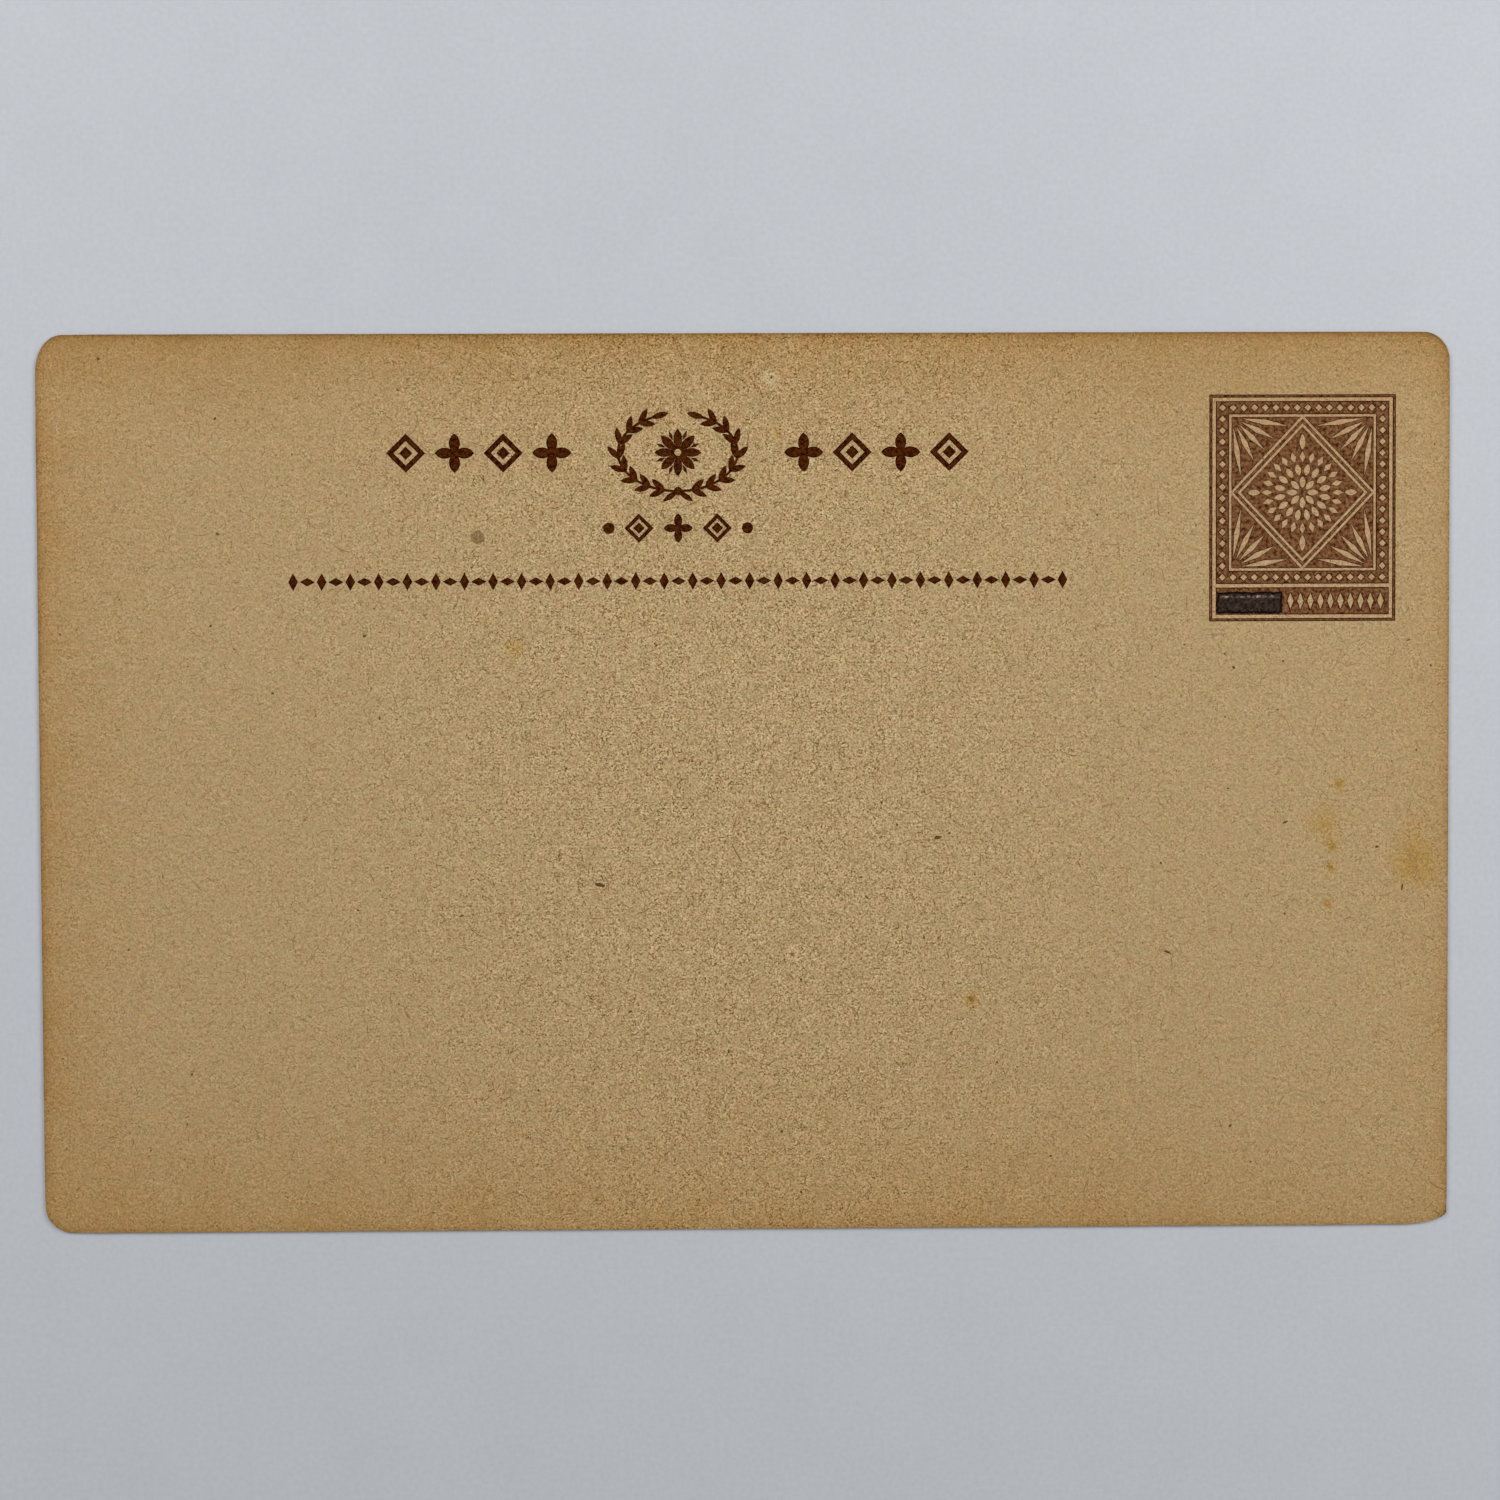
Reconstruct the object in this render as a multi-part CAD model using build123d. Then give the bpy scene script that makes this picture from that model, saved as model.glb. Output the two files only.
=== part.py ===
from build123d import *
from math import atan2, cos, degrees, floor, hypot, radians, sin
import os

# A printed postal card: pasteboard of three plies, with ornaments in ink on the address side.
# It lies on its back with its centre on the Z axis. +X is the reading direction, +Y points to
# the top edge and +Z out of the printed face. All sizes are millimetres, all angles degrees.

# Card stock
CARD_WIDTH = 139.7
CARD_HEIGHT = 88.9
BACK_PLY = 0.07
MIDDLE_PLY = 0.11
FACE_PLY = 0.07
PASTE_FILM = 0.01

# Corners rubbed round by handling: how far each runs along the width and along the height
TOP_LEFT_ALONG = 2.6
TOP_LEFT_DOWN = 3.6
TOP_RIGHT_ALONG = 2.6
TOP_RIGHT_DOWN = 2.9
BOTTOM_LEFT_ALONG = 2.8
BOTTOM_LEFT_UP = 2.7
BOTTOM_RIGHT_ALONG = 4.6
BOTTOM_RIGHT_UP = 1.3

# Ink
INK_FILM = 0.01

# Stamp imprint, from its outer rule inwards
STAMP_WIDTH = 18.5
STAMP_HEIGHT = 22.4
STAMP_FROM_RIGHT = 5.4
STAMP_FROM_TOP = 6.2
STAMP_RULE = 0.3
STAMP_GAP = 0.35
FOOT_HEIGHT = 2.7
FOOT_LOZENGE_WIDTH = 0.64
FOOT_LOZENGE_SPACE = 0.32
FOOT_MARGIN = 0.5
BORDER_BAND = 1.3
BORDER_LOZENGE = 0.7
BORDER_SPACE = 0.35
HAIRLINE = 0.25
FAN_RAYS = 5
FAN_START = 1.0
FAN_RAY_WIDTH = 0.55
FAN_MARGIN = 0.5
MEDALLION_RULE = 0.3
ROSETTE_PETALS = 8
ROSETTE_RINGS = 3
ROSETTE_EYE = 0.45
ROSETTE_PETAL_WIDTH = 0.6
ROSETTE_RING_SPACE = 0.1
ROSETTE_MARGIN = 0.35

# Black bar printed over the stamp's foot
BAR_LENGTH = 6.5
BAR_HEIGHT = 2.1
BAR_FROM_FOOT_END = 0.1
BAR_BELOW_FOOT_MIDDLE = 0.15

# Crest: a wreath round a flower, in the middle of the heading. The wreath's stems follow an ellipse.
BLOCK_FROM_LEFT = 63.2
WREATH_FROM_TOP = 7.95
WREATH_WIDTH = 11.8
WREATH_HEIGHT = 7.6
WREATH_OPENING = 24
STEM_WIDTH = 0.24
LEAF_PAIRS = 9
LEAF_LENGTH = 1.8
LEAF_WIDTH = 0.62
LEAF_LEAN = 34
KNOT_RADIUS = 0.42
RIBBON_LENGTH = 1.8
RIBBON_WIDTH = 0.55
RIBBON_DROOP = 34
FLOWER_CLEARANCE = 0.15
FLOWER_PETALS = 8
FLOWER_PETAL_WIDTH = 0.86
FLOWER_SEPAL_WIDTH = 0.34
FLOWER_SEPAL_LENGTH = 1.05
FLOWER_EYE = 0.7
FLOWER_EYE_HOLE = 0.34

# Rows of ornaments: the heading, the short row under the crest and the long line under that
HEADING_SIZE = 3.85
HEADING_COUNT = 4
HEADING_SPACE = 0.95
HEADING_FROM_WREATH = 4.6
HEADING_PETAL_WIDTH = 1.08
HEADING_STROKE = 0.5
HEADING_CLEARANCE = 0.4
NAME_SIZE = 2.88
NAME_SPACE = 0.99
NAME_FROM_WREATH = 2.2
NAME_PETAL_WIDTH = 0.8
NAME_STROKE = 0.36
NAME_CLEARANCE = 0.26
NAME_DOT = 1.1
LINE_LENGTH = 77.0
LINE_HEIGHT = 1.75
LINE_FROM_NAME = 2.9
LINE_UPRIGHT_WIDTH = 0.95
LINE_FLAT_LENGTH = 1.5
LINE_FLAT_HEIGHT = 0.8
LINE_SPACE = 0.16

# Levels, from the back up
BACK_PASTE_Z = BACK_PLY
MIDDLE_PLY_Z = BACK_PASTE_Z + PASTE_FILM
FRONT_PASTE_Z = MIDDLE_PLY_Z + MIDDLE_PLY
FACE_PLY_Z = FRONT_PASTE_Z + PASTE_FILM
INK_Z = FACE_PLY_Z + FACE_PLY
BAR_Z = INK_Z + INK_FILM

# Places on the face
STAMP_X = CARD_WIDTH / 2 - STAMP_FROM_RIGHT - STAMP_WIDTH / 2
STAMP_Y = CARD_HEIGHT / 2 - STAMP_FROM_TOP - STAMP_HEIGHT / 2
BLOCK_X = BLOCK_FROM_LEFT - CARD_WIDTH / 2
CREST_Y = CARD_HEIGHT / 2 - WREATH_FROM_TOP - WREATH_HEIGHT / 2
NAME_Y = CREST_Y - WREATH_HEIGHT / 2 - NAME_FROM_WREATH - NAME_SIZE / 2
LINE_Y = NAME_Y - NAME_SIZE / 2 - LINE_FROM_NAME - LINE_HEIGHT / 2

# Room inside the stamp: the panel within the rule, the field above the foot, the space in its border
PANEL_WIDTH = STAMP_WIDTH - 2 * (STAMP_RULE + STAMP_GAP)
PANEL_HEIGHT = STAMP_HEIGHT - 2 * (STAMP_RULE + STAMP_GAP)
FIELD_HEIGHT = PANEL_HEIGHT - FOOT_HEIGHT - STAMP_GAP
FIELD_Y = (PANEL_HEIGHT - FIELD_HEIGHT) / 2
FOOT_Y = (FOOT_HEIGHT - PANEL_HEIGHT) / 2
BAR_X = (BAR_LENGTH - PANEL_WIDTH) / 2 + BAR_FROM_FOOT_END
INNER_WIDTH = PANEL_WIDTH - 2 * (BORDER_BAND + HAIRLINE)
INNER_HEIGHT = FIELD_HEIGHT - 2 * (BORDER_BAND + HAIRLINE)


def slab(outline, level, thickness):
    """The outline as a flat sheet of that thickness, standing on the level."""
    return extrude(Pos(0, 0, level) * outline, thickness)


def ink(sketch, x, y, level=INK_Z):
    """A printed shape as a film of ink, with the sketch's origin at x, y on the face."""
    return slab(Pos(x, y) * sketch, level, INK_FILM)


def card_outline():
    """The card's edge: four straight sides, and a quarter ellipse where each corner is worn."""
    corners = [
        (1, 1, TOP_RIGHT_ALONG, TOP_RIGHT_DOWN),
        (-1, 1, TOP_LEFT_ALONG, TOP_LEFT_DOWN),
        (-1, -1, BOTTOM_LEFT_ALONG, BOTTOM_LEFT_UP),
        (1, -1, BOTTOM_RIGHT_ALONG, BOTTOM_RIGHT_UP),
    ]
    arcs = []
    for turn, (side, end, along, up) in enumerate(corners):
        centre = (side * (CARD_WIDTH / 2 - along), end * (CARD_HEIGHT / 2 - up))
        arcs.append(EllipticalCenterArc(centre, along, up, start_angle=90 * turn, arc_size=90))
    sides = [Line(arc @ 1, arcs[(turn + 1) % 4] @ 0) for turn, arc in enumerate(arcs)]
    return make_face(arcs + sides)


def leaf(length, width):
    """A pointed oval along +X from the origin: two arcs that meet at both tips."""
    near, far = (0, 0), (length, 0)
    return make_face([SagittaArc(near, far, width / 2), SagittaArc(far, near, width / 2)])


def growth(width, height, moved_out):
    """How many times larger a lozenge is once its sides have moved out by a distance."""
    return 1 + 2 * moved_out * hypot(width, height) / (width * height)


def lozenge(width, height, moved_out=0):
    """A diamond on the origin, with its sides moved out from that size by a distance."""
    half_width = growth(width, height, moved_out) * width / 2
    half_height = growth(width, height, moved_out) * height / 2
    return Polygon((half_width, 0), (0, half_height), (-half_width, 0), (0, -half_height), align=None)


def dart(length, width):
    """A slim lozenge along +X from the origin."""
    return Pos(length / 2, 0) * lozenge(length, width)


def petals(blade, count, inner, outer, width, turned=0):
    """Leaves or darts pointing outwards, evenly round the origin, from the inner to the outer radius."""
    petal = Pos(inner, 0) * blade(outer - inner, width)
    return [Rot(0, 0, turned + 360 * i / count) * petal for i in range(count)]


def quatrefoil(size, petal_width):
    """Four petals in a cross, joined by a round eye."""
    return Sketch() + petals(leaf, 4, 0, size / 2, petal_width) + Circle(petal_width / 2)


def nested_lozenge(size, stroke, clearance):
    """A lozenge outline with a small lozenge in the middle."""
    hole = lozenge(size, size, -stroke)
    middle = lozenge(size, size, -stroke - clearance)
    return lozenge(size, size) - hole + middle


def evenly(length, least):
    """Places along a centred run, both ends included, with at least that step between them."""
    steps = max(1, floor(length / least))
    return [length * (i / steps - 0.5) for i in range(steps + 1)]


def stamp_frame():
    inside = Rectangle(STAMP_WIDTH - 2 * STAMP_RULE, STAMP_HEIGHT - 2 * STAMP_RULE)
    return Rectangle(STAMP_WIDTH, STAMP_HEIGHT) - inside


def stamp_border():
    """A band round the field, with a row of small lozenges left open along its middle."""
    inside = Rectangle(PANEL_WIDTH - 2 * BORDER_BAND, FIELD_HEIGHT - 2 * BORDER_BAND)
    band = Rectangle(PANEL_WIDTH, FIELD_HEIGHT) - inside
    across = PANEL_WIDTH - BORDER_BAND
    up = FIELD_HEIGHT - BORDER_BAND
    step = BORDER_LOZENGE + BORDER_SPACE
    places = [(x, side * up / 2) for x in evenly(across, step) for side in (-1, 1)]
    places += [(side * across / 2, y) for y in evenly(up, step)[1:-1] for side in (-1, 1)]
    reserves = [Pos(x, y) * lozenge(BORDER_LOZENGE, BORDER_LOZENGE) for x, y in places]
    return Pos(0, FIELD_Y) * (band - reserves)


def stamp_corners():
    """Four corner triangles outside the medallion, each with a fan of rays left open."""
    panels = Rectangle(INNER_WIDTH, INNER_HEIGHT) - lozenge(INNER_WIDTH, INNER_HEIGHT, HAIRLINE / 2)
    half_width = INNER_WIDTH / 2
    half_height = INNER_HEIGHT / 2
    rays = []
    for i in range(FAN_RAYS):
        angle = radians(90 * (i + 0.5) / FAN_RAYS)
        reach = 1 / (cos(angle) / half_width + sin(angle) / half_height)
        ray = Pos(FAN_START, 0) * dart(reach - FAN_MARGIN - FAN_START, FAN_RAY_WIDTH)
        for side in (-1, 1):
            for end in (-1, 1):
                inwards = degrees(atan2(-end * sin(angle), -side * cos(angle)))
                rays.append(Pos(side * half_width, end * half_height) * Rot(0, 0, inwards) * ray)
    return Pos(0, FIELD_Y) * (panels - rays)


def stamp_medallion():
    """A lozenge field in a rule, with an engine-turned rosette left open: leaves within a ring of darts."""
    rule_edge = -HAIRLINE / 2
    field_edge = rule_edge - MEDALLION_RULE - HAIRLINE
    rule = lozenge(INNER_WIDTH, INNER_HEIGHT, rule_edge)
    rule -= lozenge(INNER_WIDTH, INNER_HEIGHT, field_edge + HAIRLINE)
    field = lozenge(INNER_WIDTH, INNER_HEIGHT, field_edge)
    inscribed = INNER_WIDTH * INNER_HEIGHT / hypot(INNER_WIDTH, INNER_HEIGHT) / 2 + field_edge
    outer = inscribed - ROSETTE_MARGIN
    ring_step = (outer - ROSETTE_EYE + ROSETTE_RING_SPACE) / ROSETTE_RINGS
    reserves = []
    for ring in range(ROSETTE_RINGS):
        blade = dart if ring == ROSETTE_RINGS - 1 else leaf
        count = ROSETTE_PETALS * (ring + 1)
        inner = ROSETTE_EYE + ring * ring_step
        tip = inner + ring_step - ROSETTE_RING_SPACE
        turned = 180 / count * (ring % 2)
        reserves += petals(blade, count, inner, tip, ROSETTE_PETAL_WIDTH, turned)
    start = outer + ROSETTE_RING_SPACE
    shrunk = growth(INNER_WIDTH, INNER_HEIGHT, field_edge)
    for turn, across in enumerate((INNER_WIDTH, INNER_HEIGHT, INNER_WIDTH, INNER_HEIGHT)):
        length = shrunk * across / 2 - 2 * ROSETTE_MARGIN - start
        reserves.append(Rot(0, 0, 90 * turn) * Pos(start, 0) * leaf(length, ROSETTE_PETAL_WIDTH))
    return Pos(0, FIELD_Y) * (rule + (field - reserves))


def stamp_foot():
    """A band under the field: solid below the bar, with upright lozenges left open beside it."""
    band = Rectangle(PANEL_WIDTH, FOOT_HEIGHT)
    right = PANEL_WIDTH / 2 - FOOT_MARGIN - FOOT_LOZENGE_WIDTH / 2
    left = BAR_X + BAR_LENGTH / 2 + FOOT_MARGIN + FOOT_LOZENGE_WIDTH / 2
    upright = lozenge(FOOT_LOZENGE_WIDTH, FOOT_HEIGHT - 2 * FOOT_MARGIN)
    places = evenly(right - left, FOOT_LOZENGE_WIDTH + FOOT_LOZENGE_SPACE)
    reserves = [Pos((left + right) / 2 + x, 0) * upright for x in places]
    return Pos(0, FOOT_Y) * (band - reserves)


def overprint_bar():
    return Pos(BAR_X, FOOT_Y - BAR_BELOW_FOOT_MIDDLE) * Rectangle(BAR_LENGTH, BAR_HEIGHT)


def stem_arc(moved_out=0):
    """The line of the right stem, from the bottom of the wreath up to its opening."""
    across = WREATH_WIDTH / 2 + moved_out
    up = WREATH_HEIGHT / 2 + moved_out
    return EllipticalCenterArc((0, 0), across, up, start_angle=-90, arc_size=180 - WREATH_OPENING)


def branch():
    """The right half of the wreath: a stem with pairs of leaves, and a single leaf at its tip."""
    middle = stem_arc()
    sides = [stem_arc(-STEM_WIDTH / 2), stem_arc(STEM_WIDTH / 2)]
    ends = [Line(sides[0] @ end, sides[1] @ end) for end in (0, 1)]
    blade = Pos(-STEM_WIDTH, 0) * leaf(LEAF_LENGTH, LEAF_WIDTH)
    leaves = []
    for i in range(1, LEAF_PAIRS + 1):
        station = i / LEAF_PAIRS
        along = middle % station
        leans = (0,) if i == LEAF_PAIRS else (-LEAF_LEAN, LEAF_LEAN)
        for lean in leans:
            turned = degrees(atan2(along.Y, along.X)) + lean
            leaves.append(Pos(middle @ station) * Rot(0, 0, turned) * blade)
    return make_face(sides + ends) + leaves


def crest_wreath():
    """Two mirrored branches tied at the bottom with a knot and two ribbon ends."""
    right = branch()
    ribbon = leaf(RIBBON_LENGTH, RIBBON_WIDTH)
    ribbons = [Rot(0, 0, -RIBBON_DROOP) * ribbon, Rot(0, 0, RIBBON_DROOP - 180) * ribbon]
    knot = Pos(0, -WREATH_HEIGHT / 2) * (Circle(KNOT_RADIUS) + ribbons)
    return right + mirror(right, about=Plane.YZ) + knot


def crest_flower():
    """A flower that clears the leaves of the wreath: petals joined by an open eye, sepals between."""
    leaf_spread = LEAF_LENGTH * sin(radians(LEAF_LEAN)) + LEAF_WIDTH / 2
    tip = WREATH_HEIGHT / 2 - leaf_spread - FLOWER_CLEARANCE
    flower = Circle(FLOWER_EYE) + petals(leaf, FLOWER_PETALS, FLOWER_EYE_HOLE, tip, FLOWER_PETAL_WIDTH)
    between = 180 / FLOWER_PETALS
    sepals = petals(dart, FLOWER_PETALS, tip - FLOWER_SEPAL_LENGTH, tip, FLOWER_SEPAL_WIDTH, between)
    return flower - Circle(FLOWER_EYE_HOLE) + sepals


def heading_row(side):
    """Quatrefoils and lozenges by turns, from the crest outwards."""
    first = WREATH_WIDTH / 2 + HEADING_FROM_WREATH + HEADING_SIZE / 2
    motifs = (
        quatrefoil(HEADING_SIZE, HEADING_PETAL_WIDTH),
        nested_lozenge(HEADING_SIZE, HEADING_STROKE, HEADING_CLEARANCE),
    )
    row = Sketch()
    for i in range(HEADING_COUNT):
        row += Pos(side * (first + i * (HEADING_SIZE + HEADING_SPACE))) * motifs[i % 2]
    return row


def name_ornament():
    """A quatrefoil between two lozenges, with a dot at each end."""
    lozenge_x = NAME_SIZE + NAME_SPACE
    dot_x = lozenge_x + NAME_SIZE / 2 + NAME_SPACE + NAME_DOT / 2
    row = quatrefoil(NAME_SIZE, NAME_PETAL_WIDTH)
    for side in (-1, 1):
        row += Pos(side * lozenge_x) * nested_lozenge(NAME_SIZE, NAME_STROKE, NAME_CLEARANCE)
        row += Pos(side * dot_x) * Circle(NAME_DOT / 2)
    return row


def direction_rule():
    """A long line of flat lozenges, with an upright one before, between and after them."""
    least = LINE_FLAT_LENGTH + LINE_UPRIGHT_WIDTH + 2 * LINE_SPACE
    places = evenly(LINE_LENGTH - LINE_UPRIGHT_WIDTH, least)
    row = [Pos(x) * lozenge(LINE_UPRIGHT_WIDTH, LINE_HEIGHT) for x in places]
    flat = lozenge(LINE_FLAT_LENGTH, LINE_FLAT_HEIGHT)
    row += [Pos((x + y) / 2) * flat for x, y in zip(places, places[1:])]
    return Sketch() + row


outline = card_outline()
nodes = {
    "back_ply": slab(outline, 0, BACK_PLY),
    "back_paste": slab(outline, BACK_PASTE_Z, PASTE_FILM),
    "middle_ply": slab(outline, MIDDLE_PLY_Z, MIDDLE_PLY),
    "front_paste": slab(outline, FRONT_PASTE_Z, PASTE_FILM),
    "face_ply": slab(outline, FACE_PLY_Z, FACE_PLY),
    "stamp_frame": ink(stamp_frame(), STAMP_X, STAMP_Y),
    "stamp_border": ink(stamp_border(), STAMP_X, STAMP_Y),
    "stamp_corners": ink(stamp_corners(), STAMP_X, STAMP_Y),
    "stamp_medallion": ink(stamp_medallion(), STAMP_X, STAMP_Y),
    "stamp_foot": ink(stamp_foot(), STAMP_X, STAMP_Y),
    "overprint_bar": ink(overprint_bar(), STAMP_X, STAMP_Y, BAR_Z),
    "crest_wreath": ink(crest_wreath(), BLOCK_X, CREST_Y),
    "crest_flower": ink(crest_flower(), BLOCK_X, CREST_Y),
    "heading_left": ink(heading_row(-1), BLOCK_X, CREST_Y),
    "heading_right": ink(heading_row(1), BLOCK_X, CREST_Y),
    "name_ornament": ink(name_ornament(), BLOCK_X, NAME_Y),
    "direction_rule": ink(direction_rule(), BLOCK_X, LINE_Y),
}

os.makedirs("parts", exist_ok=True)
for name, solid in nodes.items():
    export_step(solid, f"parts/{name}.step")
    print(name, len(solid.solids()), "solids", round(solid.volume, 3), "mm3")
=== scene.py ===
# %% [markdown]
# # An old postal card
# A postal card is pasteboard: plies of paper pasted face to face, trimmed to size and printed on the
# address side. This one has been handled and kept for a long time, so its corners are rubbed round,
# its edges have gone brown, and the felt and the fibres of the paper show all over it.
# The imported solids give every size. This script dresses them, so it begins by loading them.

# %% Load the solids and measure the card
import math
import random

import bmesh
import bpy
from mathutils import Matrix, Vector, noise


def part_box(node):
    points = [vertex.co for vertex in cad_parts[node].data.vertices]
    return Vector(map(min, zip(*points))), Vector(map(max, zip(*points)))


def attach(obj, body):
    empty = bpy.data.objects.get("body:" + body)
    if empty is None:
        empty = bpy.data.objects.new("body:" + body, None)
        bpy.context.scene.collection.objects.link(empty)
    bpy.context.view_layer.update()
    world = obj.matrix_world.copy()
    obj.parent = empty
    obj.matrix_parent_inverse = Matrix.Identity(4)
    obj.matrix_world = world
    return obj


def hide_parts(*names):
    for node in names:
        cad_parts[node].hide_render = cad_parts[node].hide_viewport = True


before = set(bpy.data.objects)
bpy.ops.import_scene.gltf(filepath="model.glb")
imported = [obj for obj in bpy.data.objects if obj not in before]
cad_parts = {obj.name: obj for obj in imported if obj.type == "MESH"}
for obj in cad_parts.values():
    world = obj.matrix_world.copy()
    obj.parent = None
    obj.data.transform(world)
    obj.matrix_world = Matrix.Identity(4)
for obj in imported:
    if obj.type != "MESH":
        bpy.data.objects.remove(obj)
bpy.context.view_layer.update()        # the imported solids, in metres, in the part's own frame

MM = 0.001
_, card_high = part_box("face_ply")
half_width = card_high.x / MM
half_height = card_high.y / MM
face_level = card_high.z / MM
print(f"card {2 * half_width:.1f} by {2 * half_height:.1f} mm, printed face {face_level:.2f} mm up")

# %% [markdown]
# ## The camera
# The photograph was taken by hand from straight above, so the card is almost square to the view, with
# a tilt of a degree or so. The place and the turn below come from fitting the card's four corners, and
# the lens is the one that a telephone's main camera is like. There is no shift and no depth of field,
# so the same camera also serves the other views.

# %% Camera
CAMERA_PLACE = (-1.235, 7.019, 178.605)
CAMERA_TURN = (-1.196, -0.515, -0.240)
CAMERA_LENS = 43.2
SENSOR_WIDTH = 36.0
NEAREST_SEEN = 1.0

bpy.ops.object.select_all(action="DESELECT")
camera_turn = [math.radians(angle) for angle in CAMERA_TURN]
bpy.ops.object.camera_add(location=Vector(CAMERA_PLACE) * MM, rotation=camera_turn)
camera = bpy.context.object
camera.data.lens = CAMERA_LENS
camera.data.sensor_width = SENSOR_WIDTH
camera.data.clip_start = NEAREST_SEEN * MM
bpy.context.scene.camera = camera
print("camera", [round(c / MM) for c in camera.location], "mm")

# %% [markdown]
# ## Light
# The card lies in a room with windows on two sides: the light is soft, it comes from the top left and
# from the right, and it falls off towards the bottom. Two wide area lamps stand in for the windows and
# an even world for the room. Together they light a white sheet at the card's middle to about 1, so a
# colour renders about as it is written. The lamps stand rather low, because paper shows its felt only
# where the light rakes over it.

# %% World and lamps
ROOM_LIGHT = 0.40
ROOM_COLOUR = (0.97, 0.985, 1.0, 1.0)
WINDOWS = {"right_window": ((0.331, 0.172, 0.24), 1.26), "left_window": ((-0.298, 0.219, 0.24), 0.99)}
WINDOW_SIZE = (0.30, 0.20)

scene = bpy.context.scene
scene.view_settings.view_transform = "Standard"
scene.world = bpy.data.worlds.new("room")
scene.world.use_nodes = True
room = scene.world.node_tree.nodes["Background"]
room.inputs["Color"].default_value = ROOM_COLOUR
room.inputs["Strength"].default_value = ROOM_LIGHT

for name, (place, power) in WINDOWS.items():
    bpy.ops.object.light_add(type="AREA", location=place)
    window = bpy.context.object
    window.name = name
    window.rotation_euler = (-Vector(place)).to_track_quat("-Z", "Y").to_euler()
    window.data.shape = "RECTANGLE"
    window.data.size, window.data.size_y = WINDOW_SIZE
    window.data.energy = power
    print(name, power, "W")

# %% [markdown]
# ## Mixing finishes
# Every finish here is a small tree of nodes. Wiring nodes by hand takes many lines, so this recipe
# class adds one node a call and returns its output, and a finish then reads from top to bottom like a
# recipe. All patterns read Object coordinates, turned to millimetres, so a size in a recipe is the
# size on the card.

# %% A recipe for node trees
CLOUD_ROUGHNESS = 0.6
SEED_STEP = (37, 91)


def tone(red, green, blue):
    """A colour as it is picked from a screen, 0 to 255, in the linear values that shaders take."""
    linear = [c / 3294.6 if c <= 10 else ((c / 255 + 0.055) / 1.055) ** 2.4 for c in (red, green, blue)]
    return (*linear, 1.0)


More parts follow.
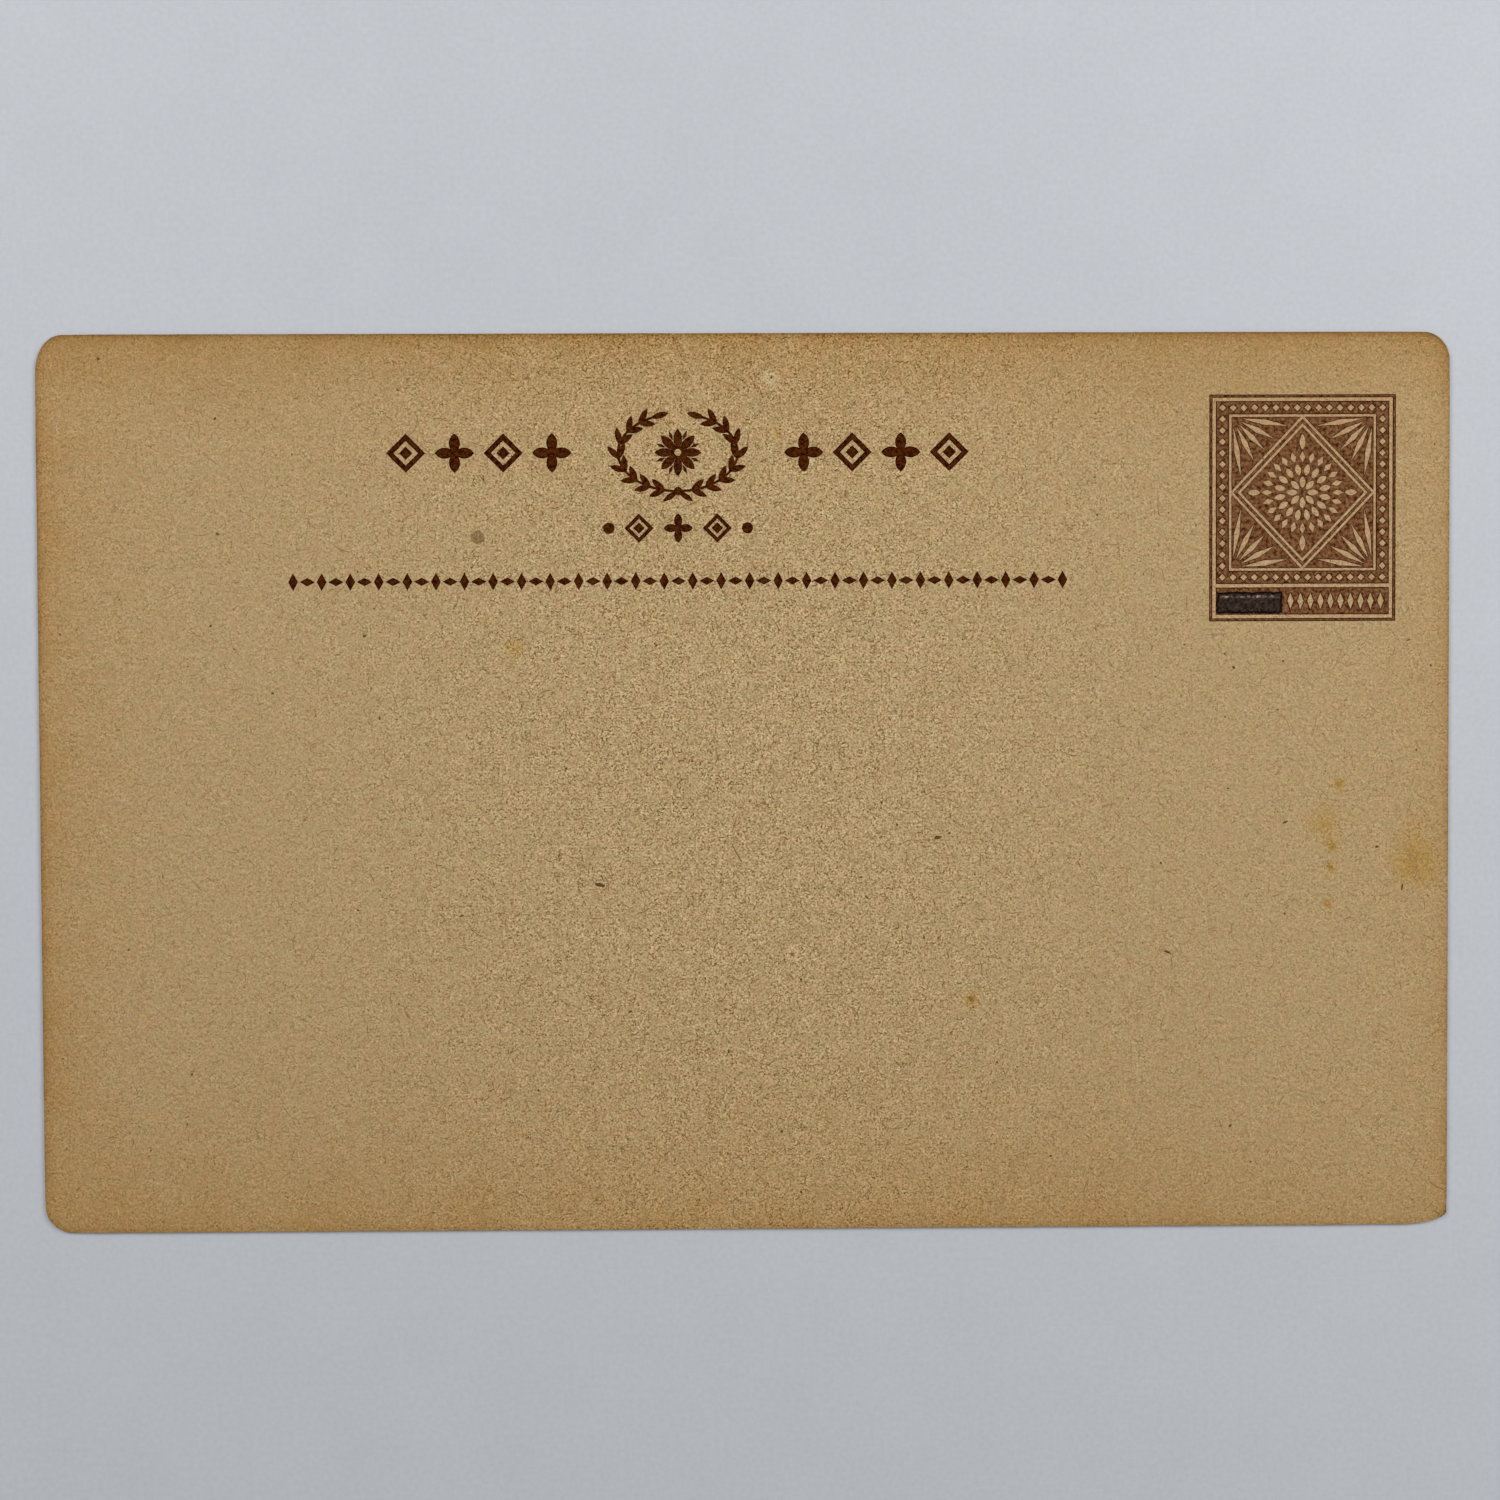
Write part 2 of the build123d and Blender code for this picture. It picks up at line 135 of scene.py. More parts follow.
class Recipe:
    """A material's node tree. Each call adds one node and returns its output."""

    def __init__(self, name, roughness, shine):
        self.material = bpy.data.materials.new(name)
        self.material.use_nodes = True
        self.tree = self.material.node_tree
        self.shader = self.tree.nodes["Principled BSDF"]
        self.shader.inputs["Roughness"].default_value = roughness
        self.shader.inputs["Specular IOR Level"].default_value = shine
        coordinates = self.tree.nodes.new("ShaderNodeTexCoord")
        self.place = self.vector("SCALE", coordinates.outputs["Object"], 1 / MM)
        self.flat = self.vector("MULTIPLY", self.place, (1, 1, 0))

    def feed(self, socket, value):
        if isinstance(value, bpy.types.NodeSocket):
            self.tree.links.new(value, socket)
        else:
            socket.default_value = value

    def vector(self, operation, a, b):
        node = self.tree.nodes.new("ShaderNodeVectorMath")
        node.operation = operation
        self.feed(node.inputs[0], a)
        self.feed(node.inputs["Scale" if operation == "SCALE" else 1], b)
        return node.outputs["Value" if operation in ("DISTANCE", "DOT_PRODUCT", "LENGTH") else "Vector"]

    def math(self, operation, a, b=0.0):
        node = self.tree.nodes.new("ShaderNodeMath")
        node.operation = operation
        self.feed(node.inputs[0], a)
        self.feed(node.inputs[1], b)
        return node.outputs["Value"]

    def axes(self, vector):
        node = self.tree.nodes.new("ShaderNodeSeparateXYZ")
        self.feed(node.inputs[0], vector)
        return node.outputs[0], node.outputs[1], node.outputs[2]

    def moved(self, seed):
        """The place, moved so far by a seed that no two patterns fall together."""
        return self.vector("ADD", self.place, (seed * SEED_STEP[0], seed * SEED_STEP[1], 0))

    def noise(self, size, detail=2.0, seed=0.0):
        """Cloudy noise from 0 to 1 whose largest clouds are about that many millimetres."""
        node = self.tree.nodes.new("ShaderNodeTexNoise")
        node.noise_dimensions = "2D"
        self.feed(node.inputs["Vector"], self.moved(seed))
        self.feed(node.inputs["Scale"], 1 / size)
        self.feed(node.inputs["Detail"], detail)
        self.feed(node.inputs["Roughness"], CLOUD_ROUGHNESS)
        return node.outputs[0]

    def grains(self, size, seed, softness):
        """Grains a size apart that each have a chance brightness from 0 to 1, melting into each other."""
        node = self.tree.nodes.new("ShaderNodeTexVoronoi")
        node.voronoi_dimensions = "2D"
        node.feature = "SMOOTH_F1"
        self.feed(node.inputs["Vector"], self.moved(seed))
        self.feed(node.inputs["Scale"], 1 / size)
        self.feed(node.inputs["Smoothness"], softness)
        return self.axes(node.outputs["Color"])[0]

    def fade(self, value, start, end, low=0.0, high=1.0):
        """Goes smoothly from low to high as the value goes from start to end."""
        node = self.tree.nodes.new("ShaderNodeMapRange")
        node.interpolation_type = "SMOOTHSTEP"
        for socket, number in zip(node.inputs, (value, start, end, low, high)):
            self.feed(socket, number)
        return node.outputs["Result"]

    def mix(self, amount, a, b, blend="MIX"):
        node = self.tree.nodes.new("ShaderNodeMix")
        node.data_type = "RGBA"
        node.blend_type = blend
        self.feed(node.inputs[0], amount)
        self.feed(node.inputs[6], a)
        self.feed(node.inputs[7], b)
        return node.outputs[2]

    def attribute(self, name):
        """A number that the mesh itself carries at each of its points."""
        node = self.tree.nodes.new("ShaderNodeAttribute")
        node.attribute_name = name
        return node.outputs["Fac"]

    def finish(self, colour, height, depth):
        """Wires the colour, and the height as a bump of that many millimetres."""
        bump = self.tree.nodes.new("ShaderNodeBump")
        bump.inputs["Distance"].default_value = depth * MM
        self.feed(bump.inputs["Height"], height)
        self.feed(self.shader.inputs["Normal"], bump.outputs["Normal"])
        self.feed(self.shader.inputs["Base Color"], colour)
        return self.material


print("recipe ready")

# %% [markdown]
# ## The floor
# The card lies on a sheet of smooth pale paper with a breath of blue. The sheet is far larger than the
# view, so that it also lies behind the card in the low views. It is stage, not part of the object.

# %% Floor
FLOOR_SIZE = 3.0
FLOOR_DARK, FLOOR_PALE = tone(181, 184, 189), tone(197, 199, 204)
CLOUD_SIZE, CLOUD_SHARE = 9.0, 0.3
TOOTH_SIZE, TOOTH_SHARE = 0.5, 0.7
DIMPLE_SIZE, DIMPLE_DEPTH = 0.8, 0.01

bpy.ops.object.select_all(action="DESELECT")
bpy.ops.mesh.primitive_plane_add(size=FLOOR_SIZE)
floor = bpy.context.object
floor.name = "floor"


def floor_paper():
    recipe = Recipe("floor_paper", roughness=0.8, shine=0.2)
    cloud = recipe.math("MULTIPLY", recipe.noise(CLOUD_SIZE, detail=3.0), CLOUD_SHARE)
    tooth = recipe.math("MULTIPLY", recipe.noise(TOOTH_SIZE, seed=1.0), TOOTH_SHARE)
    colour = recipe.mix(recipe.math("ADD", cloud, tooth), FLOOR_DARK, FLOOR_PALE)
    recipe.finish(colour, recipe.noise(DIMPLE_SIZE), DIMPLE_DEPTH)
    return recipe


floor_recipe = floor_paper()
floor.data.materials.append(floor_recipe.material)
print("floor", FLOOR_SIZE, "m square")

# %% [markdown]
# ## The backdrop
# In a studio the sheet of paper sweeps up behind the object, so no horizon shows. A curved sheet would
# shade the card from the windows, so the sweep is only painted: from a hand's breadth round the card the
# floor fades to one plain tone, and the world has that tone too. Only rays from the camera, from a gloss
# or through glass see it, so the light on the card stays as it was.

# %% Sweep
SWEEP_FROM, SWEEP_TO = 110, 280
BACKDROP = tone(190, 193, 198)


def seen_rays(tree):
    """1 for rays from the camera, from a gloss or through glass, 0 for those that light a surface."""
    path = tree.nodes.new("ShaderNodeLightPath")
    seen = path.outputs["Is Camera Ray"]
    for kind in ("Is Glossy Ray", "Is Transmission Ray"):
        either = tree.nodes.new("ShaderNodeMath")
        either.operation = "MAXIMUM"
        tree.links.new(seen, either.inputs[0])
        tree.links.new(path.outputs[kind], either.inputs[1])
        seen = either.outputs[0]
    return seen


def blend_out(tree, share, near, far_kind):
    """Blends what a tree shows now into the plain backdrop, by a share."""
    far = tree.nodes.new(far_kind)
    far.inputs["Color"].default_value = BACKDROP
    blend = tree.nodes.new("ShaderNodeMixShader")
    tree.links.new(share, blend.inputs[0])
    tree.links.new(near.outputs[0], blend.inputs[1])
    tree.links.new(far.outputs[0], blend.inputs[2])
    output = next(node for node in tree.nodes if node.type.startswith("OUTPUT"))
    tree.links.new(blend.outputs[0], output.inputs["Surface"])


blend_out(scene.world.node_tree, seen_rays(scene.world.node_tree), room, "ShaderNodeBackground")
from_card = floor_recipe.vector("LENGTH", floor_recipe.flat, (0, 0, 0))
plain_share = floor_recipe.fade(from_card, SWEEP_FROM, SWEEP_TO)
plain_share = floor_recipe.math("MULTIPLY", plain_share, seen_rays(floor_recipe.tree))
blend_out(floor_recipe.tree, plain_share, floor_recipe.shader, "ShaderNodeEmission")
print("the floor fades to the backdrop from", SWEEP_FROM, "to", SWEEP_TO, "mm")

# %% [markdown]
# ## The outline of the sheets
# All plies were trimmed in one cut, and their corners were rubbed round together. Each corner is worn
# differently, so how far the wear runs is measured on the solid: its straight sides end where the
# rubbed corner begins. A sheet starts as a flat grid of the card's size, and the grid's square corners
# are then drawn in to quarter ellipses, which keeps all its faces four-sided.

# %% Corners and rim
ON_SIDE = 0.001


def measure_corners(node):
    """For each corner, how many millimetres the wear runs along the width and along the height."""
    spans = {}
    points = [vertex.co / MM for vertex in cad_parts[node].data.vertices]
    for side_x in (-1, 1):
        for side_y in (-1, 1):
            on_level = [p for p in points if abs(p.y - side_y * half_height) < ON_SIDE]
            on_upright = [p for p in points if abs(p.x - side_x * half_width) < ON_SIDE]
            spans[side_x, side_y] = (
                min(half_width - side_x * p.x for p in on_level),
                min(half_height - side_y * p.y for p in on_upright),
            )
    return spans


corner_spans = measure_corners("face_ply")


def corner_share(x, y):
    """The sides of the nearest corner, and how far into its wear a point lies, from 0 to 1 both ways."""
    side_x, side_y = math.copysign(1, x), math.copysign(1, y)
    along, up = corner_spans[side_x, side_y]
    return side_x, side_y, 1 - (half_width - abs(x)) / along, 1 - (half_height - abs(y)) / up


def rim_at(x, y):
    """How far a point lies in from the rim, and the direction out of the card there."""
    side_x, side_y, share_x, share_y = corner_share(x, y)
    if share_x > 0 and share_y > 0:
        along, up = corner_spans[side_x, side_y]
        outward = Vector((side_x * share_x / along, side_y * share_y / up, 0))
        return (1 - math.hypot(share_x, share_y)) / max(outward.length, 1e-6), outward.normalized()
    if half_width - abs(x) < half_height - abs(y):
        return half_width - abs(x), Vector((side_x, 0, 0))
    return half_height - abs(y), Vector((0, side_y, 0))


for (side_x, side_y), (along, up) in corner_spans.items():
    print("corner", side_x, side_y, f"worn {along:.2f} along and {up:.2f} up")

# %% [markdown]
# ## Working in millimetres
# Blender's mesh tools merge points that lie closer than a hundredth of a millimetre when a unit is a
# metre. The films here are that thin, so each piece is modelled with a unit of one millimetre and
# brought down to metres when it is done. Three helpers do the common steps: start with nothing
# selected, open a piece for editing, and settle it at its true size with its finish.

# %% Helpers for modelling
def clear_selection():
    bpy.ops.object.select_all(action="DESELECT")


def open_mesh(piece, kind="FACE"):
    """Goes into edit mode on one piece, with what is flagged in its mesh selected."""
    clear_selection()
    bpy.context.view_layer.objects.active = piece
    piece.select_set(True)
    bpy.context.tool_settings.mesh_select_mode = [kind == k for k in ("VERT", "EDGE", "FACE")]
    bpy.ops.object.mode_set(mode="EDIT")


def close_mesh():
    bpy.ops.object.mode_set(mode="OBJECT")


def settle(piece, material, slot, *nodes):
    """Brings a piece to metres, gives it its finish and its body, and hides the solids that it stands for.
    The slot is not used.
    """
    open_mesh(piece)
    bpy.ops.mesh.select_all(action="SELECT")
    bpy.ops.mesh.normals_make_consistent(inside=False)
    close_mesh()
    piece.data.transform(Matrix.Scale(MM, 4))
    piece.data.materials.clear()
    piece.data.materials.append(material)
    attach(piece, "root")
    if nodes:
        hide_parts(*nodes)
    print(piece.name, len(piece.data.polygons), "faces")


# %% [markdown]
# ## A ply
# A ply is a thin sheet with a worn rim. On the two outer plies the outer side carries the felt of the
# paper machine, so they keep a fine grid there, which a Displace modifier presses with cloudy noise,
# always inwards, so that the sheet never outgrows its solid. The inner plies and the paste show only
# their edge, so their grid is dissolved to one face. Wear is a slow waver and a fine roughness along
# the rim, and the felted sides also fall off a little towards it, as card edges do when they are
# bumped. A single Bevel would be too even for that, so the points are moved in code.

# %% Sheets
RIM_STEP = 0.4
WEAR_REACH = 1.6
RIM_WEAR = 0.05
CORNER_WEAR, CORNER_REACH = 0.10, 2.5
WAVER_LENGTH, WAVER_SHARE = 2.3, 0.6
ROUGH_LENGTH, ROUGH_SHARE = 0.45, 0.4
RIM_DROP = 0.03
FELT_SIZE = 1.1
FELT_DEPTH = 0.012


def flat_grid(name):
    clear_selection()
    columns, rows = round(2 * half_width / RIM_STEP), round(2 * half_height / RIM_STEP)
    bpy.ops.mesh.primitive_grid_add(x_subdivisions=columns, y_subdivisions=rows, size=2)
    piece = bpy.context.object
    piece.name = piece.data.name = name
    bpy.ops.transform.resize(value=(half_width, half_height, 1))
    bpy.ops.object.transform_apply(location=False, rotation=False, scale=True)
    return piece


def rub_corners(piece):
    """Draws the grid's square corners in to quarter ellipses."""
    for vertex in piece.data.vertices:
        side_x, side_y, share_x, share_y = corner_share(vertex.co.x, vertex.co.y)
        if share_x > 0 and share_y > 0:
            along, up = corner_spans[side_x, side_y]
            drawn_x = share_x * math.sqrt(1 - share_y * share_y / 2)
            drawn_y = share_y * math.sqrt(1 - share_x * share_x / 2)
            vertex.co.x = side_x * (half_width - along + along * drawn_x)
            vertex.co.y = side_y * (half_height - up + up * drawn_y)


def swell(place, length):
    """Smooth noise from 0 to 1 with swells of about a length."""
    return 0.5 + 0.5 * noise.noise(place / length)


def wear_rim(piece, seed, drop=0.0):
    """Pulls the rim in unevenly, more at the corners, and lets the sheet fall by the drop towards it."""
    for vertex in piece.data.vertices:
        depth, outward = rim_at(vertex.co.x, vertex.co.y)
        if depth > WEAR_REACH:
            continue
        nearness = (1 - max(depth, 0) / WEAR_REACH) ** 2
        place = Vector((vertex.co.x, vertex.co.y, seed))
        waver = swell(place, WAVER_LENGTH)
        rough = swell(place, ROUGH_LENGTH)
        _, _, share_x, share_y = corner_share(vertex.co.x, vertex.co.y)
        at_corner = max(0.0, 1 - math.hypot(1 - share_x, 1 - share_y) / CORNER_REACH)
        pull = RIM_WEAR * (WAVER_SHARE * waver + ROUGH_SHARE * rough) + CORNER_WEAR * at_corner * rough
        vertex.co -= outward * pull * nearness
        vertex.co.z -= drop * nearness * (0.6 + 0.8 * waver)


def press_felt(piece, name, size, depth):
    """Presses cloudy felt marks into the sheet, downwards only."""
    felt = bpy.data.textures.new(name, "CLOUDS")
    felt.noise_scale = size
    felt.noise_depth = 3
    clear_selection()
    bpy.context.view_layer.objects.active = piece
    piece.select_set(True)
    bpy.ops.object.modifier_add(type="DISPLACE")
    press = piece.modifiers[-1]
    press.texture = felt
    press.texture_coords = "LOCAL"
    press.direction = "Z"
    press.strength = depth
    press.mid_level = 1.0
    bpy.ops.object.modifier_apply(modifier=press.name)


def close_under(piece, thickness):
    """Drops a wall from the rim to the level of the other side and closes that side with one face."""
    open_mesh(piece, "EDGE")
    bpy.ops.mesh.select_all(action="DESELECT")
    bpy.ops.mesh.select_non_manifold(
        extend=False, use_wire=False, use_multi_face=False, use_non_contiguous=False, use_verts=False
    )
    bpy.ops.mesh.extrude_region_move()
    bpy.ops.transform.resize(value=(1, 1, 0), center_override=(0, 0, -thickness))
    bpy.ops.mesh.edge_face_add()
    close_mesh()


def felted_sheet(name, seed, thickness):
    """An outer ply with its felted side up, at z = 0."""
    piece = flat_grid(name)
    rub_corners(piece)
    wear_rim(piece, seed, RIM_DROP)
    press_felt(piece, name, FELT_SIZE, FELT_DEPTH)
    close_under(piece, thickness)
    return piece


def plain_sheet(name, seed, thickness):
    """An inner sheet, of which only the rim shows, with its upper side at z = 0."""
    piece = flat_grid(name)
    rub_corners(piece)
    open_mesh(piece)
    bpy.ops.mesh.select_all(action="SELECT")
    bpy.ops.mesh.dissolve_faces()
    close_mesh()
    wear_rim(piece, seed)
    close_under(piece, thickness)
    return piece


print("sheets: rim points every", RIM_STEP, "mm, felt", FELT_DEPTH, "mm deep")

# %% [markdown]
# ## The grain of the pulp
# Buff card of this kind is unbleached pulp, a felt of short fibres. Under a glass it is a grain of light
# ridges and dark pits, a few tenths of a millimetre across, with dark dashes between the fibres. Cloudy noise
# alone looks like sand, so the grain here is soft Voronoi cells and fine noise with short bent fibres laid
# over them: a Voronoi texture gives each fibre its middle, a chance angle and a chance strength, and the
# distance from a bent line through that middle draws it. The same grain shades the colour and drives the
# bump, and the inks read it too. The darkness of the pits in the colour is partly the pulp's own tone and
# partly painted shade of the felt's relief, and the dark dashes are painted shadows between the fibres.

# %% Fibres of the grain
FIBRE_WIDTH, FIBRE_CORE = 0.057, 0.3
FIBRE_BOW = 0.5
FIBRE_REACH, FIBRE_TAPER = 0.5, 0.3
# Layers whose amount is below 0 draw the dark dashes between the fibres, which are painted shadows.
FIBRE_LAYERS = (  # size, seed, rarity and amount, which is below 0 for dark fibres
    (0.30, 1.3, 0.30, 0.30),
    (0.32, 4.1, 0.20, -0.36),
    (0.50, 7.7, 0.30, -0.46),
    (0.80, 9.2, 0.40, -0.46),
)


def scattered_fibres(recipe, size, seed, rarity):
    """Short bent fibres a size apart, lying all ways, of strength 0 to 1. A higher rarity leaves out more."""
    node = recipe.tree.nodes.new("ShaderNodeTexVoronoi")
    node.voronoi_dimensions = "2D"
    shifted = recipe.vector("ADD", recipe.place, (seed, 2 * seed, 0))
    recipe.feed(node.inputs["Vector"], shifted)
    recipe.feed(node.inputs["Scale"], 1 / size)
    local = recipe.vector("SUBTRACT", shifted, node.outputs["Position"])
    angle, strength, _ = recipe.axes(node.outputs["Color"])
    turn = recipe.tree.nodes.new("ShaderNodeVectorRotate")
    turn.rotation_type = "Z_AXIS"
    recipe.feed(turn.inputs["Vector"], local)
    recipe.feed(turn.inputs["Angle"], recipe.math("MULTIPLY", angle, 2 * math.pi))
    along, across, _ = recipe.axes(turn.outputs["Vector"])
    bow = recipe.math("MULTIPLY", recipe.math("MULTIPLY", along, along), FIBRE_BOW / size)
    beside = recipe.math("ABSOLUTE", recipe.math("ADD", across, bow))
    to_end = recipe.fade(recipe.math("ABSOLUTE", along), size * FIBRE_REACH, size * FIBRE_TAPER)
    line = recipe.math("MULTIPLY", recipe.fade(beside, FIBRE_WIDTH, FIBRE_WIDTH * FIBRE_CORE), to_end)
    return recipe.math("MULTIPLY", line, recipe.fade(strength, rarity, 1.0))


print(len(FIBRE_LAYERS), "layers of fibres in the grain")

# %% [markdown]
# No paper is felted evenly, so slow noise makes the grain stronger in one patch and weaker in the next.
# The hands that held the card by its ends also rubbed it smoother there, so the grain is strongest
# around the middle and fades towards both ends, where soft swells of the felt are left.

# %% Grain
CELL_SIZE, CELL_SOFTNESS, CELL_SHARE = 0.14, 0.20, 0.55
FINE_SIZE, FINE_SHARE = 0.19, 0.70
GRAIN_MIDDLE = 0.54
GRAIN_LEVEL = 0.40
GRAIN_GAIN = 0.755
PATCH_SIZE, PATCH_LOW, PATCH_HIGH = 2.0, 0.3, 1.7
UNRUBBED, UNRUBBED_STRETCH = (-1, 13, 0), (1, 0.42, 0)
RUBBED_FROM, RUBBED_TO, RUBBED_GAIN = 8.0, 52.0, 0.44
SWELL_SIZE, SWELL_SHADE, SWELL_HEIGHT = 0.42, 0.08, 2.4


def rubbed(recipe, middle, ends):
    """Goes from one value around the card's middle to another at its rubbed ends."""
    away = recipe.vector("MULTIPLY", recipe.vector("SUBTRACT", recipe.flat, UNRUBBED), UNRUBBED_STRETCH)
    distance = recipe.vector("LENGTH", away, (0, 0, 0))
    return recipe.fade(distance, RUBBED_FROM, RUBBED_TO, middle, ends)


def grain_gain(recipe):
    """How strong the grain is at a place."""
    patch = recipe.math("MULTIPLY", recipe.noise(PATCH_SIZE, seed=12.0), PATCH_HIGH - PATCH_LOW)
    worn = rubbed(recipe, GRAIN_GAIN, GRAIN_GAIN * RUBBED_GAIN)
    return recipe.math("MULTIPLY", recipe.math("ADD", patch, PATCH_LOW), worn)


def grain_of(recipe):
    """The height of the paper's grain, about 0 to 1 and mostly close to its level."""
    cells = recipe.math("MULTIPLY", recipe.grains(CELL_SIZE, 1.0, CELL_SOFTNESS), CELL_SHARE)
    fine = recipe.math("MULTIPLY", recipe.noise(FINE_SIZE, detail=0.0, seed=2.0), FINE_SHARE)
    height = recipe.math("ADD", cells, fine)
    for size, seed, rarity, amount in FIBRE_LAYERS:
        fibre = scattered_fibres(recipe, size, seed, rarity)
        height = recipe.math("ADD", height, recipe.math("MULTIPLY", fibre, amount))
    relief = recipe.math("MULTIPLY", recipe.math("SUBTRACT", height, GRAIN_MIDDLE), grain_gain(recipe))
    return recipe.math("ADD", relief, GRAIN_LEVEL)


def swells_of(recipe):
    """Soft swells of the felt around 0, which are left where the card is rubbed."""
    swells = recipe.math("SUBTRACT", recipe.noise(SWELL_SIZE, detail=0.5, seed=21.0), 0.5)
    return recipe.math("MULTIPLY", swells, rubbed(recipe, 0.0, 1.0))


print("grain at the ends", RUBBED_GAIN, "of that in the middle")

# %% [markdown]
# ## Browning
# Air and fingers brown such a card from its sides in. Three layers follow the real change: a slow one that
# reaches some millimetres, with its own strength and reach on each side, a fast one along the rim, and a dark
# line on the cut itself. Each fades by the exponent of its depth, and each multiplies the colour by a tint
# that takes more of the blue than of the red, as browning does. At a corner two sides brown the card, so a
# share of the weaker one is added. The bottom side is browned less towards its right end. The two narrow
# layers follow the rounded corners, so their depth is that of a rectangle with round corners. A strip along
# the top is also darkened a little, which is painted shade.

# %% Browning from the sides
CORNER_RADIUS = 2.7
SLOW_TINT = (0.92, 0.80, 0.625, 1)
FAST_REACH, FAST_TINT = 0.60, (0.75, 0.635, 0.45, 1)
LINE_REACH, LINE_TINT = 0.22, (0.62, 0.60, 0.42, 1)
SIDE_REACH = 6.0
EVERY_SIDE, TOP_SIDE, MORE_AT_LEFT, MORE_AT_RIGHT = 0.35, 1.0, 0.35, 0.20
DRIFT_SIZE, DRIFT_AMOUNT = 7.0, 1.2
TOP_SLOW, BOTTOM_SLOW, LEFT_SLOW, RIGHT_SLOW = (1.0, 6.5), (1.0, 9.0), (0.95, 6.0), (0.45, 4.5)
BOTTOM_EASED = (30.0, 66.0, 1.0, 0.62)
CORNER_SHARE = 0.6
# The band, drift and tint on the next line darken a strip along the top: painted shade.
TOP_SHADE_BAND, TOP_SHADE_DRIFT, TOP_SHADE_TINT = (8.0, 3.5), 2.0, (0.962, 0.955, 0.935, 1)


def fading(recipe, depth, reach, strength, drift):
    """The strength of a layer at a depth from the side, with a drift that makes it uneven."""
    fall = recipe.math("ADD", recipe.math("MULTIPLY", depth, -1 / reach), drift)
    return recipe.math("MULTIPLY", recipe.math("EXPONENT", fall), strength)


def browning(recipe, colour):
    """Browns a colour from the card's sides in, and paints a little shade along the top."""
    x, y, _ = recipe.axes(recipe.place)
    drift = recipe.math("SUBTRACT", recipe.noise(DRIFT_SIZE, detail=3.0, seed=5.0), 0.5)
    drift = recipe.math("MULTIPLY", drift, DRIFT_AMOUNT)
    from_top = recipe.math("SUBTRACT", half_height, y)
    sides = (
        (from_top, *TOP_SLOW),
        (recipe.math("ADD", y, half_height), *BOTTOM_SLOW),
        (recipe.math("ADD", x, half_width), *LEFT_SLOW),
        (recipe.math("SUBTRACT", half_width, x), *RIGHT_SLOW),
    )
    layers = (fading(recipe, depth, reach, strength, drift) for depth, strength, reach in sides)
    top, bottom, left, right = layers
    bottom = recipe.math("MULTIPLY", bottom, recipe.fade(x, *BOTTOM_EASED))
    across, along = recipe.math("MAXIMUM", top, bottom), recipe.math("MAXIMUM", left, right)
    weaker = recipe.math("MULTIPLY", recipe.math("MINIMUM", across, along), CORNER_SHARE)
    slow = recipe.math("ADD", recipe.math("MAXIMUM", across, along), weaker)
    colour = recipe.mix(slow, colour, SLOW_TINT, "MULTIPLY")
    # A strip along the top is darkened a little: painted shade.
    top_shade_depth = recipe.math("SUBTRACT", from_top, recipe.math("MULTIPLY", drift, TOP_SHADE_DRIFT))
    top_shaded = recipe.fade(top_shade_depth, *TOP_SHADE_BAND)
    colour = recipe.mix(top_shaded, colour, TOP_SHADE_TINT, "MULTIPLY")
    core = (half_width - CORNER_RADIUS, half_height - CORNER_RADIUS, 0)
    past_core = recipe.vector("SUBTRACT", recipe.vector("ABSOLUTE", recipe.flat, (0, 0, 0)), core)
    reached = recipe.vector("LENGTH", recipe.vector("MAXIMUM", past_core, (0, 0, 0)), (0, 0, 0))
    rim_depth = recipe.math("SUBTRACT", CORNER_RADIUS, reached)
    at_top = recipe.fade(y, half_height - SIDE_REACH, half_height, EVERY_SIDE, TOP_SIDE)
    at_left = recipe.fade(x, SIDE_REACH - half_width, -half_width, 0.0, MORE_AT_LEFT)
    at_right = recipe.fade(x, half_width - SIDE_REACH, half_width, 0.0, MORE_AT_RIGHT)
    strength = recipe.math("ADD", at_top, recipe.math("ADD", at_left, at_right))
    for reach, tint in ((FAST_REACH, FAST_TINT), (LINE_REACH, LINE_TINT)):
        colour = recipe.mix(fading(recipe, rim_depth, reach, strength, drift), colour, tint, "MULTIPLY")
    return colour


print("browning reaches", TOP_SLOW[1], "mm from the top and", BOTTOM_SLOW[1], "mm from the bottom")

# %% [markdown]
# ## Stains
# The address side has been splashed and handled: yellow grease marks near the right side, a rust spot,
# a round grey mark, and a pale spot where something lifted the surface. Each stain is a tint that
# fades from a core to its reach, and noise shifts the distance so that no stain is a true circle.
# At the bottom right the corner has been bent, which left short dark creases.

